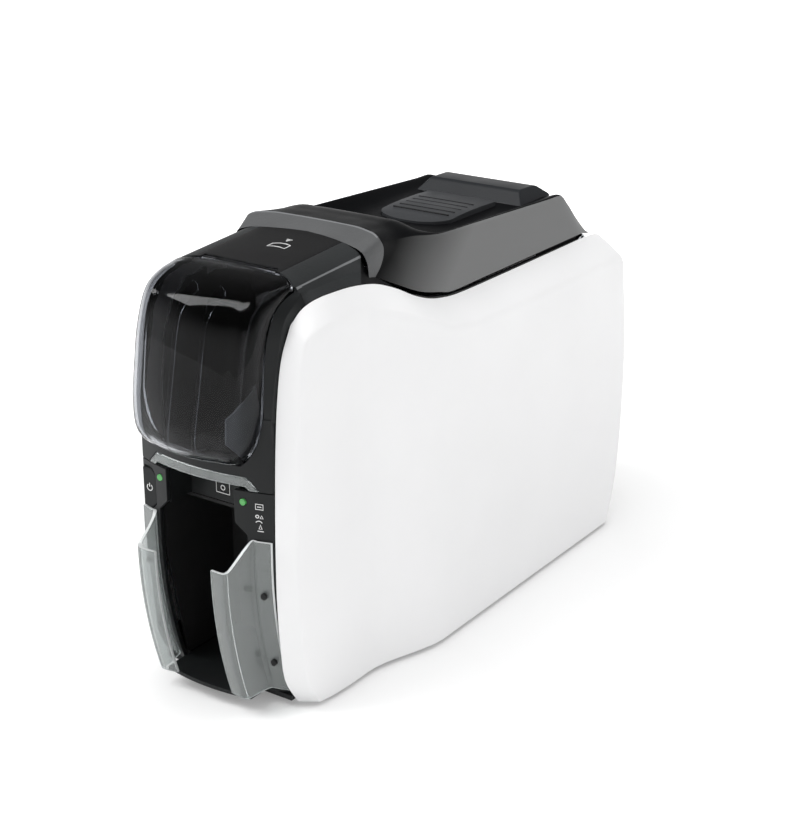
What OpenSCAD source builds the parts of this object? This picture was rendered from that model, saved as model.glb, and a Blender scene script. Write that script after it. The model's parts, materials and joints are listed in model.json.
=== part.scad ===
/* [Case] */
// Half of the width across the side panels at the front
front_half_w = 64; // [62:0.5:68]
// Half of the width across the side panels at the rear
rear_half_w = 78.8; // [74:0.2:84]
// Where the side panels start to widen, in front of the origin
bulge_start_y = -103; // [-112:1:-95]
// Where the side panels reach their full width
bulge_end_y = -40; // [-55:1:-25]
// Wall thickness of the side panels
panel_wall = 2.6; // [2:0.1:3.2]
// Height of the side panels' lower edge above the table
panel_foot_z = 2.5; // [2:0.5:4]
// Half of the width between the side panels' front edges
front_gap_half = 49.2; // [48.6:0.1:50]
// Half of the width between the side panels' top edges at the front
crest_gap_half = 56; // [55:0.5:58]
// Half of the width between the side panels' top edges at the rear
deck_gap_half = 61; // [60:0.5:64]
// Half of the width between the side panels' rear edges
rear_gap_half = 62; // [60:0.5:66]
// Height of the slanted band along the panels' top edge
top_band_h = 18; // [14:0.5:22]

/* [Base] */
// Thickness of the chassis floor
floor_t = 3; // [2:0.5:4]
// Underside of the chassis floor
floor_z = 5; // [4.5:0.5:8]
// Radius of a rubber foot
foot_r = 8; // [6:0.5:10]
// Distance from the centre line to the rear feet
rear_foot_x = 60; // [54:1:64]
// Distance from the centre line to the front feet
front_foot_x = 46; // [40:1:48]

/* [Cards and card path] */
// Width of a card
card_w = 54; // [54:0.1:54.6]
// Thickness of a card
card_t = 0.8; // [0.5:0.05:1]
// Height of the card path
path_z = 150; // [148:0.5:151]
// Clearance beside a card in the hopper
card_play = 1; // [0.6:0.1:1.2]
// Radius of the rubber rollers
roller_r = 7; // [6:0.25:8]
// Radius of the roller shafts
shaft_r = 3; // [2.5:0.25:3.5]
// Running clearance of a shaft in its bush
shaft_play = 0.05; // [0.02:0.01:0.08]
// Radius of a pinch roller
pinch_r = 5; // [4:0.25:5.5]
// Front roller, the one that picks a card
pick_y = -105; // [-106:0.5:-104]

/* [Gears] */
// Gear module, the pitch diameter divided by the number of teeth
gear_module = 1; // [0.96:0.02:1.04]
// Width of the gear teeth
gear_w = 6; // [4:0.5:8]

/* [Frame plates] */
// Thickness of the two steel frame plates
plate_t = 1.6; // [1.2:0.1:2]
// Distance from the centre line to the inside of a frame plate
plate_x = 31; // [30.5:0.5:32]
// Top of the frame plates
plate_top_z = 205; // [200:1:208]

/* [Covers] */
// Wall thickness of the clear hopper cover
cover_wall = 2.2; // [1.8:0.1:2.6]
// Half of the width of the hopper cover
cover_half_w = 44; // [43:0.2:44.4]
// Wall thickness of the top lid
lid_wall = 2.5; // [2:0.1:3]
// How far the lid opens, in degrees
lid_swing = 70; // [60:1:75]
// Wall thickness of the clear output wings
wing_wall = 2; // [1.6:0.1:2.4]
// Width of the finger gap between the two wings
finger_gap = 42; // [38:1:46]
// Gap between pieces that sit beside each other
seam = 0.4; // [0.3:0.05:0.5]

/* [Buttons] */
// Width of the lid's latch button
latch_w = 53.4; // [50:0.2:54]
// Travel of the latch button
latch_travel = 3.5; // [2:0.5:4]
// Width of the power button
power_w = 10; // [8:0.5:10.5]
// Height of the power button
power_h = 24.4; // [20:0.2:25]
// Travel of the power button
power_travel = 1.2; // [0.8:0.1:1.5]

/* [Hidden] */
$fn = 48;
roller_teeth = 28;
idler_teeth = 20;
pinion_teeth = 12;
takeup_teeth = 32;

// ---- shared arithmetic ----
function mix(a, b, t) = a + (b - a) * t;
function clamp01(t) = min(1, max(0, t));
function ease(t) = let (u = clamp01(t)) u * u * (3 - 2 * u);
function flat_list(lists) = [for (l = lists) for (p = l) p];

// A smooth curve through points: t runs from 0 to 1 along the whole list.
function curve_piece(a, b, c, d, t) =
    0.5 * (2 * b + (c - a) * t + (2 * a - 5 * b + 4 * c - d) * t * t
    + (3 * b - a - 3 * c + d) * t * t * t);
function curve(pts, t) =
    let (n = len(pts) - 1, s = clamp01(t) * n, i = min(n - 1, floor(s)), f = s - i)
    curve_piece(i > 0 ? pts[i - 1] : 2 * pts[0] - pts[1], pts[i], pts[i + 1],
        i + 2 <= n ? pts[i + 2] : 2 * pts[n] - pts[n - 1], f);

// A closed shell from two grids of points of the same size: the outer skin and the inner.
function grid_faces(rows, cols, start, flip) =
    flat_list([for (i = [0:rows - 2]) flat_list([for (j = [0:cols - 2])
        let (a = start + i * cols + j, b = a + 1, c = a + cols, d = c + 1)
        flip ? [[a, c, b], [b, c, d]] : [[a, b, c], [b, d, c]]])]);
function rim_faces(ring_out, ring_in, flip) =
    flat_list([for (k = [0:len(ring_out) - 1])
        let (m = (k + 1) % len(ring_out), a = ring_out[k], b = ring_out[m],
            c = ring_in[k], d = ring_in[m])
        flip ? [[a, b, c], [b, d, c]] : [[a, c, b], [b, c, d]]]);
function grid_ring(rows, cols, start) = concat(
    [for (j = [0:cols - 1]) start + j],
    [for (i = [1:rows - 1]) start + i * cols + cols - 1],
    [for (j = [cols - 2:-1:0]) start + (rows - 1) * cols + j],
    [for (i = [rows - 2:-1:1]) start + i * cols]);
module shell(outer, inner, flip = false) {
    rows = len(outer);
    cols = len(outer[0]);
    n = rows * cols;
    polyhedron(points = concat(flat_list(outer), flat_list(inner)),
        faces = concat(grid_faces(rows, cols, 0, flip), grid_faces(rows, cols, n, !flip),
            rim_faces(grid_ring(rows, cols, 0), grid_ring(rows, cols, n), flip)));
}
function mirror_x(pts) = [for (i = [len(pts) - 1:-1:1]) [-pts[i][0], pts[i][1], pts[i][2]]];

// ---- side panels ----
// Outline in side view, [y, z]: front edge, top edge, rear edge, each from bottom or front.
front_edge_pts = [[-155, 2.5], [-166.5, 22], [-170, 46], [-172, 76], [-172, 110], [-171, 142],
    [-169.6, 169], [-167, 197], [-162.5, 220], [-154, 237]];
top_edge_pts = [[-154, 237], [-146, 245.2], [-134, 249.2], [-117, 249.6], [-100, 248],
    [-83, 244.8], [-66, 238.2], [-50, 230.2], [-33, 224], [-14, 220.4], [8, 219.2],
    [60, 219], [115, 219], [165, 218.8], [178, 215.8], [184.5, 211.5]];
rear_edge_pts = [[181.5, 2.5], [189.5, 24], [194.5, 49], [197.2, 78], [198, 108], [197, 140],
    [193.6, 167], [190, 190], [184.5, 211.5]];
// How far the front rounding still stands in from the side, by distance from the front edge.
front_fall = [[0, 1], [1, 0.81], [2.6, 0.54], [5.8, 0.235], [8, 0.155], [12, 0.09], [20, 0.03],
    [30, 0]];
rear_round = 8;
foot_round = 1.2;

function side_x(y) = mix(front_half_w, rear_half_w,
    ease((y - bulge_start_y) / (bulge_end_y - bulge_start_y)));
crest_end_y = -117;
function top_edge_x(y) = y < crest_end_y
    ? mix(front_gap_half, crest_gap_half, sin(90 * clamp01((y - top_edge_pts[0][0])
        / (crest_end_y - top_edge_pts[0][0]))))
    : mix(crest_gap_half, deck_gap_half, ease((y - bulge_start_y) / (bulge_end_y - bulge_start_y)));
function crest_z(y) = lookup(y, top_edge_pts);
function bottom_y(u) = mix(front_edge_pts[0][0], rear_edge_pts[0][0], u);
function inset_front(v, w) = curve(front_edge_pts, v) + w * [1, 1 - 2 * v];
function inset_rear(v, w) = curve(rear_edge_pts, v) + w * [-1, 1 - 2 * v];
function inset_top(u, w) = curve(top_edge_pts, u) + w * [1 - 2 * u, -1];
function inset_bottom(u, w) = [bottom_y(u), panel_foot_z] + w * [1 - 2 * u, 1];
// Blend of the four boundary curves.
function panel_yz(u, v, w) =
    let (f = inset_front(v, w), r = inset_rear(v, w), t = inset_top(u, w),
        b = inset_bottom(u, w), c00 = inset_front(0, w), c01 = inset_front(1, w),
        c10 = inset_rear(0, w), c11 = inset_rear(1, w))
    (1 - u) * f + u * r + (1 - v) * b + v * t
    - ((1 - u) * (1 - v) * c00 + u * (1 - v) * c10 + (1 - u) * v * c01 + u * v * c11);
function quarter_drop(d, r) = d >= r ? 0 : 1 - sqrt(max(0, 1 - pow(1 - d / r, 2)));
function band_drop(d, h) = d >= h ? 0 : pow(1 - d / h, 1.25);
function soft_max(values, k) = pow([for (a = values) pow(a, k)] * [for (a = values) 1], 1 / k);
function panel_point(u, v, w) =
    let (p = panel_yz(u, v, w), y = p[0], z = p[1], side = side_x(y) - w,
        df = norm(p - inset_front(v, w)), dr = norm(p - inset_rear(v, w)),
        dt = norm(p - inset_top(u, w)), db = norm(p - inset_bottom(u, w)),
        drop_f = (side - front_gap_half) * lookup(df, front_fall),
        drop_r = (side - rear_gap_half) * quarter_drop(dr, rear_round),
        drop_t = (side - top_edge_x(y)) * band_drop(dt, top_band_h),
        drop_b = foot_round * quarter_drop(db, foot_round),
        drop = min(side - (y < 0 ? front_gap_half : deck_gap_half),
            soft_max([drop_f, drop_r, drop_t, drop_b], 7)))
    [side - drop, y, z];
panel_len = rear_edge_pts[0][0] - front_edge_pts[0][0];
panel_us = concat([for (d = [0, 0.5, 1.3, 2.6, 4.2, 5.8, 8, 12, 20, 30]) d / panel_len],
    [for (i = [1:15]) mix(0.09, 0.5, i / 15)], [0.6, 0.7, 0.8, 0.88, 0.93],
    [for (d = [12, rear_round, 4.5, 2.2, 0.7, 0]) 1 - d / panel_len]);
panel_vs = [0, 0.002, 0.005, 0.1, 0.22, 0.34, 0.46, 0.58, 0.7, 0.8, 0.87, 0.905, 0.925, 0.945,
    0.965, 0.985, 1];
module side_panel() {
    shell([for (u = panel_us) [for (v = panel_vs) panel_point(u, v, 0)]],
        [for (u = panel_us) [for (v = panel_vs) panel_point(u, v, panel_wall)]]);
}
module right_side_panel() {
    color("white") side_panel();
}
module left_side_panel() {
    color("white") mirror([1, 0, 0]) side_panel();
}

// ---- helpers for straight pieces ----
// Extrudes a [y, z] outline from x0 to x1.
module along_x(x0, x1) {
    translate([x0, 0, 0]) rotate([90, 0, 90]) linear_extrude(x1 - x0) children();
}
// Extrudes an [x, z] outline from y0 to y1.
module along_y(y0, y1) {
    translate([0, y1, 0]) rotate([90, 0, 0]) linear_extrude(y1 - y0) children();
}
module block(low, high) {
    translate(low) cube(high - low);
}
module rod_x(x0, x1, y, z, r) {
    translate([x0, y, z]) rotate([0, 90, 0]) cylinder(h = x1 - x0, r = r);
}
module both_sides() {
    children();
    mirror([1, 0, 0]) children();
}
// A skin's inner point, the wall thickness straight in from the outer one.
function inset_point(fn, a, b, w) =
    let (h = 0.002, du = fn(min(1, a + h), b) - fn(max(0, a - h), b),
        dv = fn(a, b + h * 40) - fn(a, b - h * 40), n = cross(du, dv))
    fn(a, b) + w * n / norm(n);

// ---- front faces, which bow forward in plan and lean back towards the foot ----
bow_front_y = -181;
bow_rate = 0.0036;
lean_top_z = 99;
lean_rate = 0.0019;
function bow(x) = bow_front_y + bow_rate * x * x;
function lean(z) = z < lean_top_z ? lean_rate * pow(lean_top_z - z, 2) : 0;
bezel_half = front_gap_half - seam;
bezel_wall = 3;
arm_play = 0.06;
bezel_seam_z = 143;
bezel_sill_z = 157.5;
visor_top_z = 151;
visor_half = 33;
visor_foot_half = 42;
visor_band = 5.5;
cover_rim_half = cover_half_w + seam;

// The bezel's arm beside the cover, [y, z]: along the cover's rim, and where its face turns back.
arm_rim_pts = [[-173.6, 186], [-173.5, 199], [-172.2, 212], [-170.6, 224], [-168.2, 234],
    [-163.6, 243], [-157.5, 248.6], [-150, 251.8], [-142.6, 253.6]];
arm_turn_pts = [[-172, 186], [-170.2, 199], [-167, 212], [-164, 224], [-161.4, 234],
    [-157.4, 241.8], [-152.8, 245.8], [-147.6, 249.6], [-142.6, 253.2]];
// Where the arm's side ends on the side panel, [x past the turn, y, z].
arm_foot_pts = [[0, -167.4, 185], [0, -165.2, 198], [0, -162, 211], [0, -159, 223],
    [0, -157, 232.6], [0.2, -153.5, 237.6], [1.2, -149.8, 240.8], [2.4, -145.6, 244.2],
    [3.3, -142.6, 246.2]];
function arm_inward(pts, i, w) =
    let (n = len(pts) - 1, a = pts[max(0, i - 1)], b = pts[min(n, i + 1)], t = (b - a) / norm(b - a))
    pts[i] + w * (i < n ? [t[1], -t[0]] : [0, -1]);
module bezel_arm() {
    turn_in = 2.4;
    outer = [for (i = [0:len(arm_rim_pts) - 1]) let (f = arm_foot_pts[i]) [
        [cover_rim_half + arm_play, arm_rim_pts[i][0], arm_rim_pts[i][1]],
        [bezel_half - arm_play, arm_turn_pts[i][0], arm_turn_pts[i][1]],
        [bezel_half + f[0] - arm_play, f[1], f[2]]]];
    inner = [for (i = [0:len(arm_rim_pts) - 1]) let (f = arm_foot_pts[i],
        r = arm_inward(arm_rim_pts, i, bezel_wall), t = arm_inward(arm_turn_pts, i, bezel_wall)) [
        [cover_rim_half + arm_play, r[0], r[1]], [bezel_half - turn_in, t[0], t[1]],
        [bezel_half + f[0] - turn_in, f[1], f[2] - 1.4]]];
    shell(outer, inner, true);
}
// Plan of a strip that follows the bow, wall mm thick.
module bow_plan(half, ahead, wall) {
    xs = [for (i = [0:20]) mix(-half, half, i / 20)];
    polygon(concat([for (x = xs) [x, bow(x) - ahead]],
        [for (i = [20:-1:0]) [xs[i], bow(xs[i]) - ahead + wall]]));
}
module visor_outline(grow) {
    polygon([[-visor_foot_half - grow, bezel_seam_z - 1], [-visor_half - grow / 2, visor_top_z + grow],
        [visor_half + grow / 2, visor_top_z + grow], [visor_foot_half + grow, bezel_seam_z - 1]]);
}
// Front outline, [x, z], of the opening for the cover, whose lower corners are round.
cover_half_pts = [30, 33.5, 37.5, 41.2, cover_half_w];
corner_fill_top_z = 190;
module cover_opening() {
    half = [for (i = [0:12]) let (t = i / 12)
        [curve(cover_half_pts, t) + seam, curve([for (k = [0:4]) cover_rim_pts[k][1]], t) - seam]];
    polygon(concat([for (p = half) p], [[cover_rim_half, corner_fill_top_z + 5],
        [-cover_rim_half, corner_fill_top_z + 5]], [for (i = [12:-1:0]) [-half[i][0], half[i][1]]]));
}
module upper_front_bezel() {
    color("dimgray") {
        both_sides() bezel_arm();
        intersection() {
            translate([0, 0, bezel_seam_z + seam / 2]) linear_extrude(60)
                bow_plan(bezel_half, 0, bezel_wall);
            along_y(bow_front_y - 5, -150) difference() {
                translate([-bezel_half, bezel_seam_z + seam / 2])
                    square([2 * bezel_half, corner_fill_top_z - bezel_seam_z - seam / 2]);
                visor_outline(seam);
                cover_opening();
                translate([-curve(cover_half_pts, 0), bezel_sill_z])
                    square([2 * curve(cover_half_pts, 0), 5]);
            }
        }
    }
}
module exit_slot_visor() {
    color([0.75, 0.8, 0.82, 0.5]) intersection() {
        translate([0, 0, bezel_seam_z + seam]) linear_extrude(visor_top_z - bezel_seam_z)
            bow_plan(visor_foot_half, 0.6, 2.4);
        along_y(bow_front_y - 5, -150) difference() {
            visor_outline(0);
            translate([0, -visor_band]) visor_outline(0);
        }
    }
}

// ---- lower bezel: two cheeks beside the output bay, joined by a sill ----
bay_half = 25.4;
bay_wide_half = 33;
bay_flare_z = 115.5;
bay_flare_top_z = 122.5;
cheek_foot_z = 8;
sill_z = 5;
power_x = -41.4;
power_z = 126.5;
led_x = 31;
led_z = 136;
cheek_zs = [cheek_foot_z, 20, 35, 50, 65, 80, 95, 108, bay_flare_z, bay_flare_top_z,
    bezel_seam_z - seam / 2];
function bay_edge(z) = mix(bay_wide_half, bay_half,
    clamp01((z - bay_flare_z) / (bay_flare_top_z - bay_flare_z)));
module cheek() {
    shell([for (z = cheek_zs) [for (i = [0:5]) let (x = mix(bay_edge(z), bezel_half, i / 5))
            [x, bow(x) + lean(z), z]]],
        [for (z = cheek_zs) [for (i = [0:5]) let (x = mix(bay_edge(z), bezel_half, i / 5))
            [x, bow(x) + lean(z) + bezel_wall, z]]], true);
}
module power_outline(grow) {
    w = power_w / 2 + grow;
    h = power_h / 2 + grow;
    cut = 3;
    polygon([[power_x - w, power_z - h], [power_x + w - cut, power_z - h],
        [power_x + w, power_z - h + cut], [power_x + w, power_z + h - cut],
        [power_x + w - cut, power_z + h], [power_x - w, power_z + h]]);
}
module lower_front_bezel() {
    color([0.26, 0.27, 0.28]) difference() {
        union() {
            both_sides() cheek();
            block([-bezel_half, bow_front_y + lean(sill_z) + 4, sill_z],
                [bezel_half, bow_front_y + lean(sill_z) + 8, sill_z + 3.6]);
        }
        along_y(-190, -160) power_outline(seam);
        both_sides() translate([led_x, -160, led_z]) rotate([90, 0, 0]) cylinder(h = 30, r = 2.2);
    }
}
power_face_y = bow(power_x) - 0.8;
module power_button() {
    color([0.22, 0.23, 0.24]) {
        along_y(power_face_y, power_face_y + 5) power_outline(0);
        translate([power_x, power_face_y + 9, power_z]) rotate([90, 0, 0]) cylinder(h = 4, r = 2);
    }
}
module power_button_spring() {
    color("silver") translate([power_x, board_y - 0.1, power_z]) rotate([90, 0, 0])
        ring(3.2, 2.4, board_y - power_face_y - 5 - power_travel - 0.1);
}
board_y = power_face_y + 12.2;
module light_pipes() {
    color([0.3, 0.8, 0.35]) both_sides() translate([led_x, board_y - 0.1, led_z])
        rotate([90, 0, 0]) cylinder(h = board_y - bow(led_x) + 0.4, r = 2);
}
module status_light_board() {
    color("darkgreen") both_sides() block([28, board_y, 122], [47, board_y + 1.6, 142]);
}

// ---- clear output wings ----
wing_foot_z = 12;
wing_plan = [[finger_gap / 2, -196.4], [26, -197.5], [31, -198], [33.6, -196.9], [34.6, -194.4],
    [35.2, -188], [36.2, -181.5]];
wing_tops = [98, 98.5, 99, 99.6, 100.8, 105, 110];
wing_flange_xs = [37.4, 39.5, 42.2, 45, 48.2];
wing_flange_top = 113.4;
wing_seat = 0.3;
function wing_outer() = concat(wing_plan,
    [for (x = wing_flange_xs) [x, bow(x) - wing_wall - wing_seat]]);
function wing_inner() = concat([[finger_gap / 2, -196.4 + wing_wall], [26, -197.5 + wing_wall],
    [31 - wing_wall * 0.3, -198 + wing_wall], [33.4 - wing_wall, -196.4 + wing_wall * 0.9],
    [34.4 - wing_wall, -194], [35.1 - wing_wall, -188], [36.1 - wing_wall, -181.4]],
    [for (x = wing_flange_xs) let (xi = x - (x < 38 ? wing_wall * 0.8 : 0)) [xi, bow(xi) - wing_seat]]);
function wing_top(i) = i < len(wing_tops) ? wing_tops[i] : wing_flange_top;
module wing() {
    outer = wing_outer();
    inner = wing_inner();
    steps = 9;
    shell([for (i = [0:len(outer) - 1]) [for (k = [0:steps])
            let (z = mix(wing_foot_z, wing_top(i), k / steps)) [outer[i][0], outer[i][1] + lean(z), z]]],
        [for (i = [0:len(inner) - 1]) [for (k = [0:steps])
            let (z = mix(wing_foot_z, wing_top(i), k / steps)) [inner[i][0], inner[i][1] + lean(z), z]]]);
}
module output_wing_right() {
    color([0.8, 0.85, 0.87, 0.45]) wing();
}
module output_wing_left() {
    color([0.8, 0.85, 0.87, 0.45]) mirror([1, 0, 0]) wing();
}
clip_zs = [34, 80];
clip_x = 44;
clip_gap = 0.75;
module wing_clips() {
    color([0.15, 0.15, 0.16]) both_sides() for (z = clip_zs)
        translate([clip_x, bow(clip_x) + lean(z) - wing_wall - wing_seat - clip_gap, z])
            rotate([90, 0, 0]) cylinder(h = 1.6, r = 2);
}

// ---- clear hopper cover ----
// Side view of the cover, [y, z], from its lip up to the hinge: on the centre line, where the
// front turns into the sides, and along the rim.
cover_centre_pts = [[-180.6, 158], [-189.5, 160.4], [-195, 166.2], [-196.4, 174],
    [-193.9, 189], [-190.3, 207.5], [-186.9, 225], [-182.2, 241], [-175.5, 252.2],
    [-162, 258], [-149, 260.2], [-137.7, 260.5]];
cover_edge_pts = [[-177.6, 158], [-186.3, 160.5], [-191.8, 166.3], [-193.1, 174],
    [-190.6, 189], [-187.2, 207.5], [-183.7, 225], [-179, 241], [-172.6, 251.4],
    [-161, 257.4], [-149.5, 259.6], [-139.2, 260.2]];
cover_rim_pts = [[-177.2, 158.2], [-178.6, 161.5], [-178.8, 167], [-178, 175], [-177, 189],
    [-175.2, 207.5], [-172.6, 225], [-166.5, 240.2], [-161, 247.2], [-153.5, 251.8],
    [-148, 253.8], [-144.5, 255]];
cover_flat_half = 29;
// Depth by which the cover's rim turns back between the bezel's arms.
rim_return = 3.6;
hinge_y = -136.2;
hinge_z = 258.9;
barrel_r = 2.1;
barrel_half = 27;
hinge_rod_r = 1;
// Rounds the front into the sides, as a quarter of a superellipse with exponent q.
function corner_blend(u, q) = 1 - pow(1 - pow(min(1, u), q), 1 / q);
corner_q = 2.3;
rear_corner_q = 1.2;
function cover_narrow(s) = let (n = len(cover_half_pts) - 1, k = s * (len(cover_rim_pts) - 1))
    k < n ? curve(cover_half_pts, k / n) / cover_half_w : 1;
// A point at height s of the cover; a is the distance from the centre line, then along the rim's return.
function cover_point(s, a) =
    let (c = curve(cover_centre_pts, s), e = curve(cover_edge_pts, s),
        r = curve(cover_rim_pts, s), ax = min(abs(a), cover_half_w),
        t = curve(cover_rim_pts, min(1, s + 0.01)) - curve(cover_rim_pts, max(0, s - 0.01)),
        back = max(0, abs(a) - cover_half_w) * [t[1], -t[0]] / norm(t),
        u = (ax - cover_flat_half) / (cover_half_w - cover_flat_half),
        q = mix(corner_q, rear_corner_q, ease((s - 0.75) / 0.25)),
        p = back + (ax <= cover_flat_half ? mix(c, e, pow(ax / cover_flat_half, 2))
            : [mix(e[0], r[0], corner_blend(u, q)), mix(e[1], r[1], corner_blend(u, corner_q))]))
    [sign(a) * ax * cover_narrow(s), p[0], p[1]];
cover_half_xs = [0, 12, 22, cover_flat_half, 33, 36.5, 39.5, 41.8, cover_half_w - 0.7, cover_half_w,
    cover_half_w + rim_return];
cover_xs = concat([for (i = [len(cover_half_xs) - 1:-1:1]) -cover_half_xs[i]], cover_half_xs);
cover_steps = 22;
// The wall thins towards the lip, over the lowest part of the cover.
lip_thinning = 0.3;
lip_part = 0.14;
module hopper_cover() {
    place = function(s, x) cover_point(s, x);
    color([0.55, 0.6, 0.65, 0.35]) {
        shell([for (i = [0:cover_steps]) [for (x = cover_xs) cover_point(i / cover_steps, x)]],
            [for (i = [0:cover_steps]) let (s = i / cover_steps) [for (x = cover_xs)
                inset_point(place, s, x, cover_wall * mix(lip_thinning, 1, clamp01(s / lip_part)))]], true);
        difference() {
            union() {
                rod_x(-barrel_half, barrel_half, hinge_y, hinge_z, barrel_r);
                block([-barrel_half, hinge_y - 3.8, hinge_z - 0.6],
                    [barrel_half, hinge_y - hinge_rod_r - 0.35, hinge_z + 1]);
            }
            rod_x(-barrel_half - 1, barrel_half + 1, hinge_y, hinge_z, hinge_rod_r + shaft_play);
        }
    }
}
module cover_hinge_rod() {
    color("silver") rod_x(-barrel_half - 4, barrel_half + 4, hinge_y, hinge_z, hinge_rod_r);
}

// ---- front top housing, between the cover and the lid ----
housing_rise = 0.068;
housing_mid_y = -125;
housing_top_z = 261.8;
housing_ridge_z = 256.3;
housing_flat_half = 30;
housing_ridge_half = 45;
housing_foot_gap = 0.8;
housing_wall = 2.5;
cover_gap = 0.9;
housing_rows = 14;
housing_y0 = -147;
housing_y1 = -50;
housing_front_y = hinge_y + barrel_r + 0.3;
arm_end_y = arm_rim_pts[len(arm_rim_pts) - 1][0];
// Where the lid's front edge lands on the housing, from the centre line outwards, [x, y].
lid_front_pts = [[0, -76.3], [10, -77.8], [20, -81], [29, -84], [38, -84.2], [43.5, -80.6],
    [47, -79], [51, -79.5]];
lid_corner_pts = [[deck_gap_half - 9.6, -73.6], [deck_gap_half - 3.6, -60.4],
    [deck_gap_half - 2.2, housing_y1]];
function housing_half(y) =
    let (rise = housing_rise * (y - housing_mid_y), t = housing_top_z + rise,
        r = housing_ridge_z + rise, fx = top_edge_x(y) - housing_foot_gap, fz = crest_z(y) + 0.3,
        h = housing_ridge_half)
    [[0, t + 0.2], [housing_flat_half * 0.6, t + 0.15], [housing_flat_half, t],
        [mix(housing_flat_half, h, 0.4), t - 0.7], [mix(housing_flat_half, h, 0.68), t - 2],
        [mix(housing_flat_half, h, 0.88), t - 3.8], [h, r], [mix(h, fx, 0.28), mix(r, fz, 0.55)],
        [fx, fz]];
function housing_inner(y) =
    let (o = housing_half(y), n = len(o) - 1)
    [for (i = [0:n]) let (t = o[min(n, i + 1)] - o[max(0, i - 1)])
        i == 0 ? o[i] - [0, housing_wall] : o[i] + housing_wall * [t[1], -t[0]] / norm(t)];
function both_halves(half, y) = concat([for (i = [len(half) - 1:-1:1]) [-half[i][0], y, half[i][1]]],
    [for (p = half) [p[0], y, p[1]]]);
module housing_skin() {
    ys = [for (i = [0:housing_rows]) mix(housing_y0, housing_y1, i / housing_rows)];
    shell([for (y = ys) both_halves(housing_half(y), y)], [for (y = ys) both_halves(housing_inner(y), y)],
        true);
}
module housing_plan() {
    side = deck_gap_half + 3;
    front = concat([[0, housing_front_y], [barrel_half + seam, housing_front_y],
        [barrel_half + seam, cover_point(1, barrel_half)[1] + cover_gap]],
        [for (x = cover_half_xs) if (x > cover_flat_half && x <= cover_half_w)
            [min(x + seam, cover_half_w + seam / 4), cover_point(1, x)[1] + cover_gap]],
        [[cover_half_w + seam / 4, arm_end_y + seam], [side, arm_end_y + seam]]);
    rear = concat([for (i = [0:14]) curve(lid_front_pts, i / 14) - [0, seam]], lid_corner_pts,
        [[side, housing_y1]]);
    half = concat(front, [for (i = [len(rear) - 1:-1:0]) rear[i]]);
    polygon(half);
    mirror([1, 0]) polygon(half);
}
module front_top_housing() {
    color([0.12, 0.12, 0.13]) {
        difference() {
            intersection() {
                housing_skin();
                translate([0, 0, 220]) linear_extrude(60) housing_plan();
            }
            rod_x(-barrel_half - 1, barrel_half + 1, hinge_y, hinge_z, barrel_r + 0.3);
            rod_x(-barrel_half - 5, barrel_half + 5, hinge_y, hinge_z, hinge_rod_r + shaft_play);
        }
        // Lugs that hold the hinge rod.
        difference() {
            both_sides() {
                rod_x(barrel_half + seam, barrel_half + 4.4, hinge_y, hinge_z, barrel_r);
                block([barrel_half + seam, hinge_y, hinge_z - barrel_r], [barrel_half + 4.4, hinge_y + 6, hinge_z + 0.9]);
            }
            rod_x(-barrel_half - 5, barrel_half + 5, hinge_y, hinge_z, hinge_rod_r + shaft_play);
        }
    }
}

// ---- top lid ----
lid_edge_z = 222;
lid_gap = 0.8;
lid_rear_y = 186.8;
lid_ridge_in = 8;
dish_half = 41;
dish_z = 248.8;
function lid_ridge_z(y) = 257.3 - 0.0465 * y;
// Cross-sections of the lid from front to rear: centre, two points on top, ridge, side, edge.
function lid_side(d) = deck_gap_half - d;
function lid_cross(y) = let (z = lid_ridge_z(y))
    [[0, y, dish_z], [dish_half * 0.6, y, dish_z], [dish_half, y, dish_z + 0.2],
        [lid_side(lid_ridge_in), y, z], [lid_side(3.8), y, mix(z, lid_edge_z, 0.5)],
        [lid_side(lid_gap), y, lid_edge_z]];
lid_rows = [
    [[0, -76.3, 266], [20, -81, 265.8], [36, -84.4, 264.6], [44, -80.4, 260.4],
        [lid_side(13.6), -79, 252], [lid_side(10), -79.5, 246]],
    [[0, -63, 271], [22, -66.5, 270.8], [36, -64.5, 269], [47, -67, 265.6],
        [lid_side(10.8), -67, 257], [lid_side(10.6), -73, 246.5]],
    [[0, -48, 270], [22, -48, 269.8], [37, -47.5, 268.6], [lid_side(12), -51, 263],
        [lid_side(6.6), -55, 250], [lid_side(4.4), -60, 238.4]],
    [[0, -31, 268.2], [22, -31, 268], [37, -30.5, 267], [lid_side(11), -35, 261.4],
        [lid_side(5.5), -38, 246], [lid_side(2), -41, 230]],
    [[0, -18, 259.6], [22, -18, 259.4], [37, -18, 259], [lid_side(9.4), -19, 258.8],
        [lid_side(4.6), -20, 242], [lid_side(1.2), -21, 224.8]],
    lid_cross(-6), lid_cross(30), lid_cross(75), lid_cross(118), lid_cross(136),
    [[0, 148, 244.6], [22, 148, 244.6], [36, 148, 244.6], [lid_side(11), 148, 244.4],
        [lid_side(4.6), 148, 234], [lid_side(lid_gap), 148, lid_edge_z]],
    [[0, 162, 232.8], [22, 162, 232.8], [36, 162, 232.8], [lid_side(12.5), 161.6, 232.4],
        [lid_side(6.4), 160, 226.8], [lid_side(2.4), 158, 221]],
    [[0, 176, 221.8], [22, 176, 221.8], [36, 176, 221.8], [lid_side(14), 175, 221.6],
        [lid_side(9), 172.6, 219.8], [lid_side(5.6), 169.6, 218]],
    [[0, lid_rear_y, 213.8], [22, lid_rear_y, 213.8], [36, lid_rear_y, 213.8],
        [lid_side(16), lid_rear_y - 0.6, 213.9], [lid_side(12.6), lid_rear_y - 2.2, 214.4],
        [lid_side(9.6), lid_rear_y - 4.6, 215.2]]];
lid_ts = [0, 0.15, 0.3, 0.4, 0.46, 0.52, 0.58, 0.64, 0.72, 0.82, 0.91, 1];
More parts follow.
